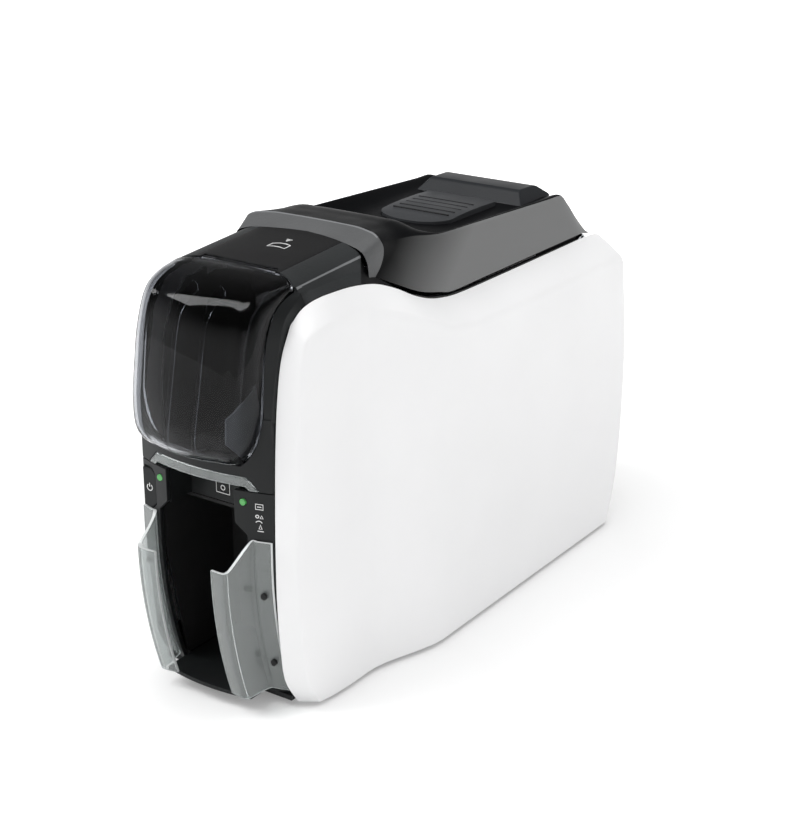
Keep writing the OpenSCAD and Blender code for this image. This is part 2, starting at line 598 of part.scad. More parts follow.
lid_ss = flat_list([for (i = [0:len(lid_rows) - 2])
    i < 6 || i > 8 ? [i, i + 0.34, i + 0.67] : [i, i + 0.5]]);
lid_last = len(lid_rows) - 1;
function lid_point(s, t) = curve([for (row = lid_rows) curve(row, t)], s);
function lid_inner_point(s, t) =
    let (p = lid_point(s, t), n = lid_last, side = ease((t - 0.4) / 0.4), top = 1 - ease((t - 0.6) / 0.4),
        front = 1 - clamp01(s * n / 1.5), back = clamp01((s * n - n + 3) / 3))
    [p[0] - lid_wall * side, p[1] + lid_wall * (1.2 * front - back * 0.9),
        p[2] - lid_wall * top * (1 - 0.7 * back * clamp01(s * n - n + 1))];
module top_lid_skin() {
    ss = [for (s = concat(lid_ss, [lid_last])) s / lid_last];
    outer = [for (s = ss) let (half = [for (t = lid_ts) lid_point(s, t)]) concat(mirror_x(half), half)];
    inner = [for (s = ss) let (half = [for (t = lid_ts) lid_inner_point(s, t)])
        concat(mirror_x(half), half)];
    shell(outer, inner, true);
}
latch_half = latch_w / 2;
latch_front_y = 28.7;
latch_rear_y = 95.3;
latch_corner = 16.5;
module latch_plan(grow) {
    q = 2.2;
    arc = [for (a = [-90:7.5:90]) let (u = sin(a))
        [u * (latch_half + grow), latch_front_y - grow
            + latch_corner * (1 - pow(max(0, 1 - pow(abs(u), q)), 1 / q))]];
    polygon(concat(arc,
        [[latch_half + grow, latch_rear_y + grow], [-latch_half - grow, latch_rear_y + grow]]));
}
bar_half = 35;
bar_foot_half = 42;
bar_top_z = 257.1;
// Side view, [y, z], of the bar across the lid behind the latch button.
bar_pts = [[103.4, dish_z - 0.4], [111.4, 256.2], [113.4, bar_top_z], [130, 256.8], [134, 256],
    [142, 250], [142, dish_z - 0.4]];
module top_lid() {
    color([0.2, 0.2, 0.21]) {
        difference() {
            top_lid_skin();
            translate([0, 0, 240]) linear_extrude(30) latch_plan(seam);
        }
        intersection() {
            along_x(-bar_foot_half, bar_foot_half) polygon(bar_pts);
            along_y(bar_pts[0][0] - 1, bar_pts[6][0] + 1) polygon([[-bar_foot_half, dish_z - 0.5],
                [bar_foot_half, dish_z - 0.5], [bar_half, bar_top_z + 0.1], [-bar_half, bar_top_z + 0.1]]);
        }
    }
}

// Rails along the side panels' top edges that the closed lid sits over.
rail_gap = 0.3;
rail_t = 2.4;
rail_h = 6;
rail_front_y = -49;
rail_rear_y = 149;
module lid_rest_rails() {
    ys = concat([for (i = [0:12]) mix(rail_front_y, 12, i / 12)], [60, 105, rail_rear_y]);
    color([0.1, 0.1, 0.11]) both_sides() shell(
        [for (y = ys) let (x = top_edge_x(y) - rail_gap, z = crest_z(y) + 0.6) [[x, y, z], [x, y, z - rail_h]]],
        [for (y = ys) let (x = top_edge_x(y) - rail_gap - rail_t, z = crest_z(y) + 0.6)
            [[x, y, z], [x, y, z - rail_h]]], true);
}

// ---- latch button, its springs and the hooks under the lid ----
frame_top_z = 240;
frame_t = 2;
latch_foot_z = dish_z - 2;
// Side view, [y, z], of the latch button's top.
latch_top_pts = [[latch_front_y - 1, 249.9], [38, 251.2], [50, 252.1], [62, 252.6], [80, 252.6],
    [latch_rear_y + 1, 252.1]];
module lid_latch_button() {
    color([0.16, 0.16, 0.17]) intersection() {
        translate([0, 0, frame_top_z]) linear_extrude(30) latch_plan(0);
        along_x(-latch_half, latch_half) polygon(concat(latch_top_pts,
            [[latch_rear_y + 1, latch_foot_z], [latch_front_y - 1, latch_foot_z]]));
    }
}
latch_spring_ys = [42, 80];
latch_spring_x = 15;
module ring(r_out, r_in, h) {
    difference() {
        cylinder(h = h, r = r_out);
        translate([0, 0, -1]) cylinder(h = h + 2, r = r_in);
    }
}
module latch_button_springs() {
    color("silver") both_sides() for (y = latch_spring_ys)
        translate([latch_spring_x, y, frame_top_z + 0.1])
            ring(4, 3.2, latch_foot_z - frame_top_z - 0.2);
}
hook_y = 60;
hook_z = 232;
hook_shaft_r = 2.5;
hook_x = plate_x + plate_t + 1;
hook_w = 3;
catch_z = 202.5;
catch_r = 1.5;
catch_gap = 0.4;
module latch_hooks() {
    color("gray") {
        rod_x(-hook_x - hook_w, hook_x + hook_w, hook_y, hook_z, hook_shaft_r);
        both_sides() {
            rod_x(hook_x, hook_x + hook_w, hook_y, hook_z, hook_shaft_r + 2);
            along_x(hook_x, hook_x + hook_w) polygon([[hook_y - 2, hook_z], [hook_y + 3, hook_z],
                [hook_y + 3, catch_z - 5], [hook_y - 1, catch_z - 5], [hook_y - 2, catch_z]]);
        }
    }
}

// ---- frame under the lid, with the hinge lugs and the printhead's guide posts ----
lid_axis_y = 182.5;
lid_axis_z = 210.6;
lid_rod_r = 1.4;
lug_r = 2.6;
lug_x = 39;
lug_w = 4;
frame_half = 49;
frame_front_y = -38;
frame_rear_y = 144;
boss_x = 38;
boss_ys = [-10, 122];
platen_i = 3;
roller_pitch = gear_module * (roller_teeth + idler_teeth);
function roller_y(i) = pick_y + i * roller_pitch;
head_y = roller_y(platen_i);
post_x = 20;
post_r = 2.4;
head_top_z = 229;
module lid_inner_frame() {
    color([0.3, 0.3, 0.31]) {
        difference() {
            union() {
                block([-frame_half, frame_front_y, frame_top_z - frame_t],
                    [frame_half, frame_rear_y, frame_top_z]);
                both_sides() {
                    block([frame_half - 3, frame_front_y + 14, frame_top_z - 12],
                        [frame_half - 1, frame_rear_y - 10, frame_top_z]);
                    for (y = boss_ys) translate([boss_x, y, frame_top_z - 0.5])
                        cylinder(h = dish_z - lid_wall - 0.3 - frame_top_z + 0.5, r = 4);
                    // Arm down to the hinge.
                    along_x(lug_x, lug_x + lug_w) polygon([[frame_rear_y - 30, frame_top_z - 0.1],
                        [frame_rear_y, frame_top_z - 0.1], [lid_axis_y - 24, 230],
                        [lid_axis_y - 11, 219], [lid_axis_y + 1.5, lid_axis_z + 2],
                        [lid_axis_y - 1, lid_axis_z - 2.3], [lid_axis_y - 16, 215],
                        [lid_axis_y - 30, 226]]);
                    rod_x(lug_x, lug_x + lug_w, lid_axis_y, lid_axis_z, lug_r);
                    // Lug for the latch shaft.
                    block([24, hook_y - 4, hook_z - 4], [27, hook_y + 4, frame_top_z - 0.5]);
                    translate([post_x, head_y, head_top_z - 6])
                        cylinder(h = frame_top_z - frame_t - head_top_z + 6.5, r = post_r);
                }
            }
            rod_x(-lug_x - lug_w - 1, lug_x + lug_w + 1, lid_axis_y, lid_axis_z, lid_rod_r + shaft_play);
            rod_x(-30, 30, hook_y, hook_z, hook_shaft_r + shaft_play);
        }
    }
}
module lid_hinge_rod() {
    color("silver") both_sides() rod_x(lug_x - 1, bracket_x + bracket_t + 1, lid_axis_y, lid_axis_z, lid_rod_r);
}
bracket_x = lug_x + lug_w + 0.3;
bracket_t = 3;
module lid_hinge_brackets() {
    color("gray") both_sides() difference() {
        union() {
            along_x(bracket_x, bracket_x + bracket_t) polygon([[128, 184], [148, 184],
                [lid_axis_y - 2, lid_axis_z - 4.2], [lid_axis_y + 1.6, lid_axis_z - 2],
                [lid_axis_y, lid_axis_z + 2.4], [lid_axis_y - 6, lid_axis_z + 1], [128, 190]]);
            rod_x(bracket_x, bracket_x + bracket_t, lid_axis_y, lid_axis_z, lug_r);
            block([plate_x + plate_t, 130, 184], [bracket_x + 1, 146, 187]);
        }
        rod_x(bracket_x - 1, bracket_x + bracket_t + 1, lid_axis_y, lid_axis_z, lid_rod_r);
    }
}

// ---- printhead ----
head_half = card_w / 2 + 1;
head_foot_z = path_z + card_t + 0.4;
module printhead_bracket() {
    color("silver") difference() {
        union() {
            block([-head_half, head_y - 8, head_foot_z + 5], [head_half, head_y + 8, head_foot_z + 22]);
            both_sides() block([head_half - 14, head_y - 7, head_foot_z + 21], [head_half - 2, head_y + 7, head_top_z]);
        }
        both_sides() translate([post_x, head_y, head_top_z - 12]) cylinder(h = 20, r = post_r + 0.3);
        for (i = [0:6]) block([-head_half - 1, head_y - 6.6 + i * 2, head_foot_z + 9],
            [head_half + 1, head_y - 5.6 + i * 2, head_foot_z + 19]);
    }
}
module printhead() {
    color([0.85, 0.82, 0.75]) {
        block([-head_half, head_y - 6, head_foot_z + 1.5], [head_half, head_y + 8, head_foot_z + 5]);
        along_x(-card_w / 2, card_w / 2) polygon([[head_y - 2.5, head_foot_z + 1.5],
            [head_y - 1, head_foot_z], [head_y + 1, head_foot_z], [head_y + 2.5, head_foot_z + 1.5]]);
    }
}
module printhead_springs() {
    color("silver") both_sides() translate([post_x, head_y, head_top_z + 0.1])
        ring(4, 3, frame_top_z - frame_t - head_top_z - 0.2);
}

// ---- rollers and gears ----
roller_z = path_z - roller_r;
roller_half = card_w / 2 + 0.5;
gear_x = plate_x + plate_t + 3.4;
bush_r = shaft_r + 2.5;
bush_flange = 1.5;
function gear_point(r, a) = [r * cos(a), r * sin(a)];
// Tooth flanks as straight lines, slim enough to run free.
module gear_outline(teeth, phase) {
    r_tip = gear_module * (teeth / 2 + 0.85);
    r_root = gear_module * (teeth / 2 - 1.1);
    p = 360 / teeth;
    polygon(flat_list([for (i = [0:teeth - 1]) let (a = phase + i * p)
        [gear_point(r_root, a - 0.27 * p), gear_point(r_tip, a - 0.09 * p),
            gear_point(r_tip, a + 0.09 * p), gear_point(r_root, a + 0.27 * p)]]));
}
module gear(y, z, teeth, phase, bore) {
    translate([0, y, z]) along_x(gear_x, gear_x + gear_w) difference() {
        gear_outline(teeth, phase);
        circle(r = bore);
    }
}
module sleeve(half, y, z, r_out, r_in) {
    difference() {
        rod_x(-half, half, y, z, r_out);
        rod_x(-half - 1, half + 1, y, z, r_in);
    }
}
module driven_roller(i, tint) {
    y = roller_y(i);
    color(tint) sleeve(roller_half, y, roller_z, roller_r, shaft_r);
    color("silver") rod_x(-plate_x - plate_t - 3, gear_x + gear_w + 1, y, roller_z, shaft_r);
    color("ivory") gear(y, roller_z, roller_teeth, 0, shaft_r);
}
module pick_roller() {
    driven_roller(0, [0.25, 0.25, 0.25]);
}
module feed_roller() {
    driven_roller(1, [0.25, 0.25, 0.25]);
}
module cleaning_roller() {
    driven_roller(2, [0.3, 0.45, 0.75]);
}
module platen_roller() {
    driven_roller(3, [0.15, 0.15, 0.15]);
}
module exit_roller() {
    driven_roller(4, [0.25, 0.25, 0.25]);
}
pinch_shaft_r = 2;
pinch_z = path_z + card_t + pinch_r;
module pinch_roller(y) {
    color([0.25, 0.25, 0.25]) sleeve(20, y, pinch_z, pinch_r, pinch_shaft_r);
    color("silver") rod_x(-plate_x - plate_t - 0.5, plate_x + plate_t + 0.5, y, pinch_z, pinch_shaft_r);
}
module feed_pinch_roller() {
    pinch_roller(roller_y(1));
}
module exit_pinch_roller() {
    pinch_roller(roller_y(4));
}
function idler_y(i) = roller_y(i) + roller_pitch / 2;
idler_phase = 180 / idler_teeth;
module idler_gear(i) {
    color("ivory") gear(idler_y(i), roller_z, idler_teeth, idler_phase, shaft_r + shaft_play);
}
module idler_gear_1() {
    idler_gear(0);
}
module idler_gear_2() {
    idler_gear(1);
}
module idler_gear_3() {
    idler_gear(2);
}
module idler_gear_4() {
    idler_gear(3);
}

// ---- motors ----
motor_side = 26;
motor_len = 29;
motor_shaft_r = 2;
motor_y = idler_y(3);
motor_z = roller_z - gear_module * (idler_teeth + pinion_teeth) / 2;
module drive_motor() {
    color("gray") block([plate_x - motor_len, motor_y - motor_side / 2, motor_z - motor_side / 2],
        [plate_x, motor_y + motor_side / 2, motor_z + motor_side / 2]);
}
module pinion(y, z, phase) {
    color("goldenrod") {
        gear(y, z, pinion_teeth, phase, motor_shaft_r);
        rod_x(plate_x + 0.05, gear_x + gear_w + 1, y, z, motor_shaft_r);
    }
}
module drive_pinion() {
    pinion(motor_y, motor_z, 0);
}
takeup_y = -12;
supply_y = 100;
spindle_z = 190;
spindle_shaft_r = 3;
core_r = 9;
ribbon_motor_r = 10;
ribbon_y = takeup_y - gear_module * (takeup_teeth + pinion_teeth) / 2;
module ribbon_motor() {
    color("gray") rod_x(plate_x - motor_len, plate_x, ribbon_y, spindle_z, ribbon_motor_r);
}
module ribbon_pinion() {
    pinion(ribbon_y, spindle_z, 180 / pinion_teeth);
}
module spindle_core(y) {
    color([0.9, 0.9, 0.92]) sleeve(roller_half, y, spindle_z, core_r, spindle_shaft_r);
    color("silver") rod_x(-gear_x - 4, gear_x + gear_w + 1, y, spindle_z, spindle_shaft_r);
}
module takeup_spindle() {
    spindle_core(takeup_y);
    color("ivory") gear(takeup_y, spindle_z, takeup_teeth, 0, spindle_shaft_r);
}
module supply_spindle() {
    spindle_core(supply_y);
    color([0.3, 0.3, 0.32]) difference() {
        rod_x(gear_x, gear_x + gear_w, supply_y, spindle_z, 11);
        rod_x(gear_x - 1, gear_x + gear_w + 1, supply_y, spindle_z, spindle_shaft_r);
    }
}

// ---- frame plates, bushes and bars ----
roller_count = 5;
plate_front_y = -108;
plate_nose_y = -117;
plate_neck_y = -86;
plate_rear_y = 150;
plate_foot_z = floor_z + floor_t;
flange_w = 12;
bar_places = [[-70, 60], [130, 60], [136, 178], [-78, 180]];
bar_r = 4;
shaft_places = concat([for (i = [0:roller_count - 1]) [roller_y(i), roller_z]],
    [[takeup_y, spindle_z], [supply_y, spindle_z]]);
module plate_outline() {
    difference() {
        polygon([[plate_front_y, plate_foot_z], [plate_rear_y, plate_foot_z], [plate_rear_y, plate_top_z],
            [plate_neck_y, plate_top_z], [plate_neck_y, path_z + 1], [plate_nose_y, path_z + 1],
            [plate_nose_y, roller_z - 12], [plate_front_y, roller_z - 22]]);
        for (p = shaft_places) translate(p) circle(r = bush_r);
        for (i = [1, 4]) translate([roller_y(i), pinch_z]) circle(r = pinch_shaft_r + shaft_play);
    }
}
module frame_plate_body() {
    along_x(plate_x, plate_x + plate_t) plate_outline();
    block([plate_x, -100, plate_foot_z], [plate_x + plate_t + flange_w, 140, plate_foot_z + plate_t]);
}
module lid_catch_pins() {
    color("silver") both_sides()
        rod_x(plate_x + plate_t, hook_x + hook_w + 1, hook_y - 2 - catch_r - catch_gap, catch_z, catch_r);
}
module left_frame_plate() {
    color("lightsteelblue") mirror([1, 0, 0]) frame_plate_body();
}
module right_frame_plate() {
    color("lightsteelblue") {
        difference() {
            frame_plate_body();
            for (p = [[motor_y, motor_z], [ribbon_y, spindle_z]])
                rod_x(plate_x - 1, plate_x + plate_t + 1, p[0], p[1], motor_shaft_r + 1.5);
        }
        for (i = [0:roller_count - 2])
            rod_x(plate_x + plate_t - 0.1, gear_x + gear_w + 1, idler_y(i), roller_z, shaft_r);
    }
}
module frame_cross_bars() {
    color("silver") for (p = bar_places) rod_x(-plate_x, plate_x, p[0], p[1], bar_r);
}
module bush(p) {
    difference() {
        union() {
            rod_x(plate_x, plate_x + plate_t, p[0], p[1], bush_r);
            rod_x(plate_x + plate_t, plate_x + plate_t + bush_flange, p[0], p[1], bush_r + 1.5);
        }
        rod_x(plate_x - 1, plate_x + plate_t + bush_flange + 1, p[0], p[1], shaft_r + shaft_play);
    }
}
module roller_bushes() {
    color("peru") both_sides() for (p = shaft_places) bush(p);
}
guide_t = 1.5;
guide_gap = 1.2;
module card_path_guides() {
    color([0.3, 0.3, 0.3]) for (i = [0:roller_count - 2])
        block([-plate_x, i == 0 ? hopper_rear_y + hopper_wall + seam : roller_y(i) + roller_r + guide_gap,
                path_z - guide_t - 0.4],
            [plate_x, roller_y(i + 1) - roller_r - guide_gap, path_z - 0.4]);
}

// ---- chassis, feet and screws ----
chassis_front_y = -152;
chassis_rear_y = 172;
chassis_rim = 2;
chassis_rim_h = 8;
foot_front_y = -128;
foot_rear_y = 150;
function chassis_side(inset) = concat([[44 - inset, chassis_front_y + inset], [52 - inset, -147 + inset * 0.6]],
    [for (y = [-140:12:chassis_rear_y - 1]) [side_x(y) - panel_wall - seam - foot_round - inset, y]],
    [[side_x(chassis_rear_y) - panel_wall - seam - 8 - inset, chassis_rear_y - inset]]);
module chassis_plan(inset) {
    side = chassis_side(inset);
    n = len(side);
    polygon(concat(side, [for (i = [n - 1:-1:0]) [-side[i][0], side[i][1]]]));
}
module base_chassis() {
    color([0.2, 0.2, 0.2]) {
        translate([0, 0, floor_z]) linear_extrude(floor_t) chassis_plan(0);
        translate([0, 0, floor_z + floor_t - 0.1]) linear_extrude(chassis_rim_h) difference() {
            chassis_plan(0);
            chassis_plan(chassis_rim);
            translate([-44, chassis_rear_y - 20]) square([88, 30]);
            translate([-44, chassis_front_y - 10]) square([88, 22]);
        }
        both_sides() for (y = standoff_ys) translate([standoff_x, y, floor_z + floor_t - 0.1])
            cylinder(h = board_z - floor_z - floor_t + 0.1, r = 3);
    }
}
module rubber_feet() {
    color([0.12, 0.12, 0.12]) both_sides() {
        translate([front_foot_x, foot_front_y, 0]) cylinder(h = floor_z, r = foot_r);
        translate([rear_foot_x, foot_rear_y, 0]) cylinder(h = floor_z, r = foot_r);
    }
}
screw_ys = [-84, 24, 128];
module chassis_screws() {
    color("silver") both_sides() for (y = screw_ys)
        translate([plate_x + plate_t + flange_w / 2 + 0.5, y, plate_foot_z + plate_t])
            cylinder(h = 2, r = 3);
}

// ---- input hopper and the weight on the cards ----
hopper_wall = 1.6;
hopper_half = card_w / 2 + card_play;
hopper_rear_y = -91;
hopper_floor_z = path_z - 0.4;
hopper_floor_t = 1.8;
module input_hopper() {
    color([0.1, 0.1, 0.11]) {
        both_sides() along_x(hopper_half, hopper_half + hopper_wall) polygon([
            [-174, hopper_floor_z - hopper_floor_t], [-174, 190], [-170, 222], [-162, 240],
            [-150, 250], [-132, 252], [-132, 248], [hopper_rear_y, 248],
            [hopper_rear_y, hopper_floor_z - hopper_floor_t]]);
        difference() {
            block([-hopper_half - 0.1, -174, hopper_floor_z - hopper_floor_t],
                [hopper_half + 0.1, hopper_rear_y, hopper_floor_z]);
            block([-roller_half - 1, pick_y - roller_r - 1, hopper_floor_z - hopper_floor_t - 1],
                [roller_half + 1, hopper_rear_y + 1, hopper_floor_z + 1]);
        }
        block([-hopper_half - hopper_wall, hopper_rear_y, path_z + 2 * card_t],
            [hopper_half + hopper_wall, hopper_rear_y + hopper_wall, 248]);
    }
}
weight_z = path_z + 0.3;
weight_lift = 70;
module card_weight_plate() {
    color([0.3, 0.3, 0.32]) {
        difference() {
            block([-hopper_half + 1, -173, weight_z], [hopper_half - 1, hopper_rear_y - 2, weight_z + 3]);
            block([-10, -174, weight_z - 1], [10, -160, weight_z + 4]);
        }
        both_sides() block([8, -150, weight_z + 2.9], [10, -110, weight_z + 14]);
    }
}

// ---- card exit and output bay ----
exit_front_y = -157;
exit_wall = 2;
exit_floor_z = bezel_seam_z;
exit_foot_z = 121;
bay_rear_y = -112;
tray_z = 9;
tray_t = 2.5;
liner_x = bay_wide_half + seam;
module card_exit_plate() {
    color([0.22, 0.23, 0.24]) {
        block([-bay_half + 0.2, exit_front_y, exit_foot_z], [bay_half - 0.2, exit_front_y + exit_wall, exit_floor_z]);
        block([-bay_half + 0.2, exit_front_y, exit_floor_z - exit_wall], [bay_half - 0.2, bay_rear_y - 6, exit_floor_z]);
        both_sides() block([bay_half, bow(bay_half + exit_wall) + bezel_wall + 0.3, exit_foot_z],
            [bay_half + exit_wall, bay_rear_y - 6, exit_floor_z]);
    }
}
module output_bay_liner() {
    color([0.05, 0.05, 0.05]) {
        both_sides() along_x(liner_x, liner_x + exit_wall) polygon([
            [bow_front_y + lean(tray_z + tray_t) + 9, tray_z + tray_t], [-172.6, 90], [-172.6, exit_foot_z - 0.5],
            [bay_rear_y, exit_foot_z - 0.5], [bay_rear_y, tray_z + tray_t]]);
        block([-liner_x - exit_wall, bay_rear_y, tray_z + tray_t], [liner_x + exit_wall, bay_rear_y + exit_wall, exit_foot_z - 0.5]);
        block([-liner_x - 0.1, exit_front_y, exit_foot_z - 2.5], [liner_x + 0.1, bay_rear_y + 0.1, exit_foot_z - 0.5]);
    }
}
module output_tray() {
    color([0.18, 0.19, 0.2]) translate([0, 0, tray_z]) linear_extrude(tray_t)
        polygon(concat([for (i = [0:12]) let (x = mix(-bay_wide_half + 1, bay_wide_half - 1, i / 12))
            [x, -181 + bow_rate * x * x]], [[bay_wide_half - 1, bay_rear_y], [-bay_wide_half + 1, bay_rear_y]]));
}

// ---- electronics and the rear ----
board_z = 16;
pcb_t = 1.6;
pcb_half = 28;
pcb_front_y = 30;
pcb_rear_y = 170;
standoff_x = 24;
standoff_ys = [36, 150];
module main_board() {
    color("darkgreen") block([-pcb_half, pcb_front_y, board_z], [pcb_half, pcb_rear_y, board_z + pcb_t]);
    color([0.1, 0.1, 0.1]) {
        block([-12, 70, board_z + pcb_t], [10, 92, board_z + pcb_t + 2]);
        block([-20, 108, board_z + pcb_t], [-6, 122, board_z + pcb_t + 2]);
        translate([16, 110, board_z + pcb_t]) cylinder(h = 14, r = 5);
        translate([16, 128, board_z + pcb_t]) cylinder(h = 14, r = 5);
    }
}
port_foot_z = board_z + pcb_t;
port_front_y = 154;
port_face_y = 182.4;
dc_r = 3.2;
usb_w = 12;
usb_h = 11;
lan_w = 16;
lan_h = 13.5;
port_xs = [-17, 0, 19];
module port(x, w, h) {
    difference() {
        block([x - w / 2, port_front_y, port_foot_z], [x + w / 2, port_face_y, port_foot_z + h]);
        children();
    }
}
module rear_ports() {
    color([0.15, 0.15, 0.16]) port(port_xs[0], 11, 11)
        translate([port_xs[0], port_face_y + 1, port_foot_z + 5.5]) rotate([90, 0, 0]) cylinder(h = 12, r = dc_r);
    color("silver") {
        port(port_xs[1], usb_w, usb_h) block([port_xs[1] - 4.2, port_face_y - 10, port_foot_z + 1.6],
            [port_xs[1] + 4.2, port_face_y + 1, port_foot_z + 9.4]);
        port(port_xs[2], lan_w, lan_h) block([port_xs[2] - 5.9, port_face_y - 12, port_foot_z + 2],
            [port_xs[2] + 5.9, port_face_y + 1, port_foot_z + 10]);
    }
}
rear_inset = panel_wall + 0.6;
rear_t = 2.4;
rear_top_z = 205.4;
rear_half = deck_gap_half - 0.1;
function rear_y_at(z, w) = curve(rear_edge_pts, rear_v(z))[0] - w;
// The rear edge's points stand at uneven heights, so the curve's place is found by steps.
function rear_v(z) = let (n = len(rear_edge_pts) - 1,
    i = max([for (k = [0:n - 1]) rear_edge_pts[k][1] <= z ? k : 0]))
    (i + (z - rear_edge_pts[i][1]) / (rear_edge_pts[i + 1][1] - rear_edge_pts[i][1])) / n;
module rear_panel() {
    zs = [for (i = [0:16]) mix(floor_z, rear_top_z, i / 16)];
    color([0.13, 0.13, 0.14]) difference() {
        union() {
            along_x(-rear_half, rear_half) polygon(concat(
                [for (z = zs) [rear_y_at(z, rear_inset), z]],
                [for (i = [16:-1:0]) [rear_y_at(zs[i], rear_inset + rear_t), zs[i]]]));
            // Corner decks beside the lid's rounded rear corners.
            both_sides() translate([0, 0, rear_top_z - 2.4]) linear_extrude(8.6)
                polygon([[50, 183.4], [60.4, 183.4], [60.4, 150], [58, 150]]);
        }
        for (i = [0:2]) let (w = [11, usb_w, lan_w][i], h = [11, usb_h, lan_h][i])
            block([port_xs[i] - w / 2 - seam, 150, port_foot_z - seam],
                [port_xs[i] + w / 2 + seam, 200, port_foot_z + h + seam]);
        block([-46, 150, 20], [-39, 200, 23]);
    }
}

base_chassis();
rubber_feet();
left_frame_plate();
right_frame_plate();
frame_cross_bars();
left_side_panel();
right_side_panel();
upper_front_bezel();
lower_front_bezel();
front_top_housing();
lid_rest_rails();
card_exit_plate();
exit_slot_visor();
hopper_cover();
cover_hinge_rod();
input_hopper();
card_weight_plate();
output_wing_left();
output_wing_right();
output_tray();
output_bay_liner();
wing_clips();
power_button();
power_button_spring();
light_pipes();
status_light_board();
top_lid();
lid_inner_frame();
lid_latch_button();
latch_button_springs();
latch_hooks();
lid_hinge_rod();
lid_hinge_brackets();
printhead_bracket();
printhead();
printhead_springs();
pick_roller();
feed_roller();
cleaning_roller();
platen_roller();
exit_roller();
feed_pinch_roller();
exit_pinch_roller();
idler_gear_1();
idler_gear_2();
idler_gear_3();
idler_gear_4();
drive_motor();
drive_pinion();
ribbon_motor();
ribbon_pinion();
takeup_spindle();
supply_spindle();
main_board();
rear_ports();
rear_panel();
roller_bushes();
card_path_guides();
chassis_screws();
lid_catch_pins();
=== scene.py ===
# %% [markdown]
# # An identity card printer
# The frame comes from the CAD model, in metres. Moving bodies, bores and hidden works are
# kept from it and only get finishes. The big moulded skins are made again here from the same
# rules with many more points, because a plastic skin shows every facet in its highlights.

# %% Load the frame
import json
import math

import bmesh
import bpy
import numpy as np
from mathutils import Matrix, Vector
from mathutils.geometry import delaunay_2d_cdt


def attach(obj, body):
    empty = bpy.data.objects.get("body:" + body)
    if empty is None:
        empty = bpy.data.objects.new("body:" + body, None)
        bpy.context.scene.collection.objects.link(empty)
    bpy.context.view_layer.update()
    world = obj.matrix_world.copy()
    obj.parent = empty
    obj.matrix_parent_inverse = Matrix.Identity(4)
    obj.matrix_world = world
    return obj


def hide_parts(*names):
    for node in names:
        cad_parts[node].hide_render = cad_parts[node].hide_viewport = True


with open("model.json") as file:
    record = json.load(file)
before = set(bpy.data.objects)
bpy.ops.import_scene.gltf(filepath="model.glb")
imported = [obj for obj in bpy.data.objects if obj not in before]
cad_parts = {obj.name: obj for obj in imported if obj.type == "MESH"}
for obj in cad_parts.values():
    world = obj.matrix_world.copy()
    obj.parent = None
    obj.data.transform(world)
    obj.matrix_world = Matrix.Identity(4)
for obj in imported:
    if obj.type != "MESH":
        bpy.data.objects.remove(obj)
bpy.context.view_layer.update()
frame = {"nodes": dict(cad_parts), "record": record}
MM = 0.001

# %% [markdown]
# ## Camera
# The camera looks from the front right and a little above, through a long lens, so that far
# edges keep their size. It is placed by its azimuth, elevation and distance from its aim.

# %% Camera
def new_object(name, data):
    obj = bpy.data.objects.new(name, data)
    bpy.context.scene.collection.objects.link(obj)
    return obj


azimuth = math.radians(34.61)
elevation = math.radians(21.22)
distance = 1.13534
aim = Vector((0.01242, 0.00431, 0.12606))
forward = Vector((-math.sin(azimuth) * math.cos(elevation),
                  math.cos(azimuth) * math.cos(elevation), -math.sin(elevation)))
image_h, focal_px = 831, 1744.08
camera_data = bpy.data.cameras.new("camera")
camera_data.sensor_fit = "AUTO"
camera_data.sensor_width = 36
camera_data.lens = focal_px / image_h * camera_data.sensor_width
camera = new_object("camera", camera_data)
camera.location = aim - forward * distance
camera.rotation_euler = forward.to_track_quat("-Z", "Y").to_euler()
bpy.context.scene.camera = camera
print("camera at", [round(c, 4) for c in camera.location], "lens", round(camera_data.lens, 2))


# %% [markdown]
# ## Finishes
# A moulded plastic is one colour all through, so what the eye reads is its surface: the grain
# cut into the mould, or the lack of it, and how sharp its highlight is. One function makes
# them all. It adds a fine grain, a slow change of tone and a slow change of roughness. A clear
# moulding also lets light through to what lies inside, and a hazy one scatters a share of it.

# %% Helpers that add shader nodes
def feed(tree, node, inputs):
    """Each named input takes a constant or another node's output."""
    for socket, value in inputs.items():
        if isinstance(value, bpy.types.NodeSocket):
            tree.links.new(value, node.inputs[socket])
        else:
            node.inputs[socket].default_value = value
    return node


def add_node(tree, kind, inputs, **settings):
    node = tree.nodes.new(kind)
    for setting, value in settings.items():
        setattr(node, setting, value)
    return feed(tree, node, inputs)


def new_material(name):
    material = bpy.data.materials.new(name)
    material.use_nodes = True
    tree = material.node_tree
    tree.nodes.clear()
    shader = add_node(tree, "ShaderNodeBsdfPrincipled", {})
    output = add_node(tree, "ShaderNodeOutputMaterial", {"Surface": shader.outputs[0]})
    return material, tree, shader, output


# %% Noise, ramps, tints and grain
def own_place(tree):
    """The place in the piece's own coordinates, which stay with it when it moves."""
    return tree.nodes.new("ShaderNodeTexCoord").outputs["Object"]


def add_noise(tree, scale, detail=3.0):
    return add_node(tree, "ShaderNodeTexNoise", {"Scale": scale, "Detail": detail,
                                                 "Vector": own_place(tree)}).outputs["Fac"]


def ramp(tree, value, start, end, low, high):
    """The value from start to end becomes low to high, and stays there beyond."""
    return add_node(tree, "ShaderNodeMapRange", {"Value": value, "From Min": start, "From Max": end,
                                                 "To Min": low, "To Max": high}).outputs["Result"]


def remap(tree, noise, low, high):
    return ramp(tree, noise, 0.3, 0.7, low, high)


def tint(tree, value, low, high):
    return add_node(tree, "ShaderNodeMix", {0: value, 6: (*low, 1), 7: (*high, 1)},
                    data_type="RGBA").outputs[2]


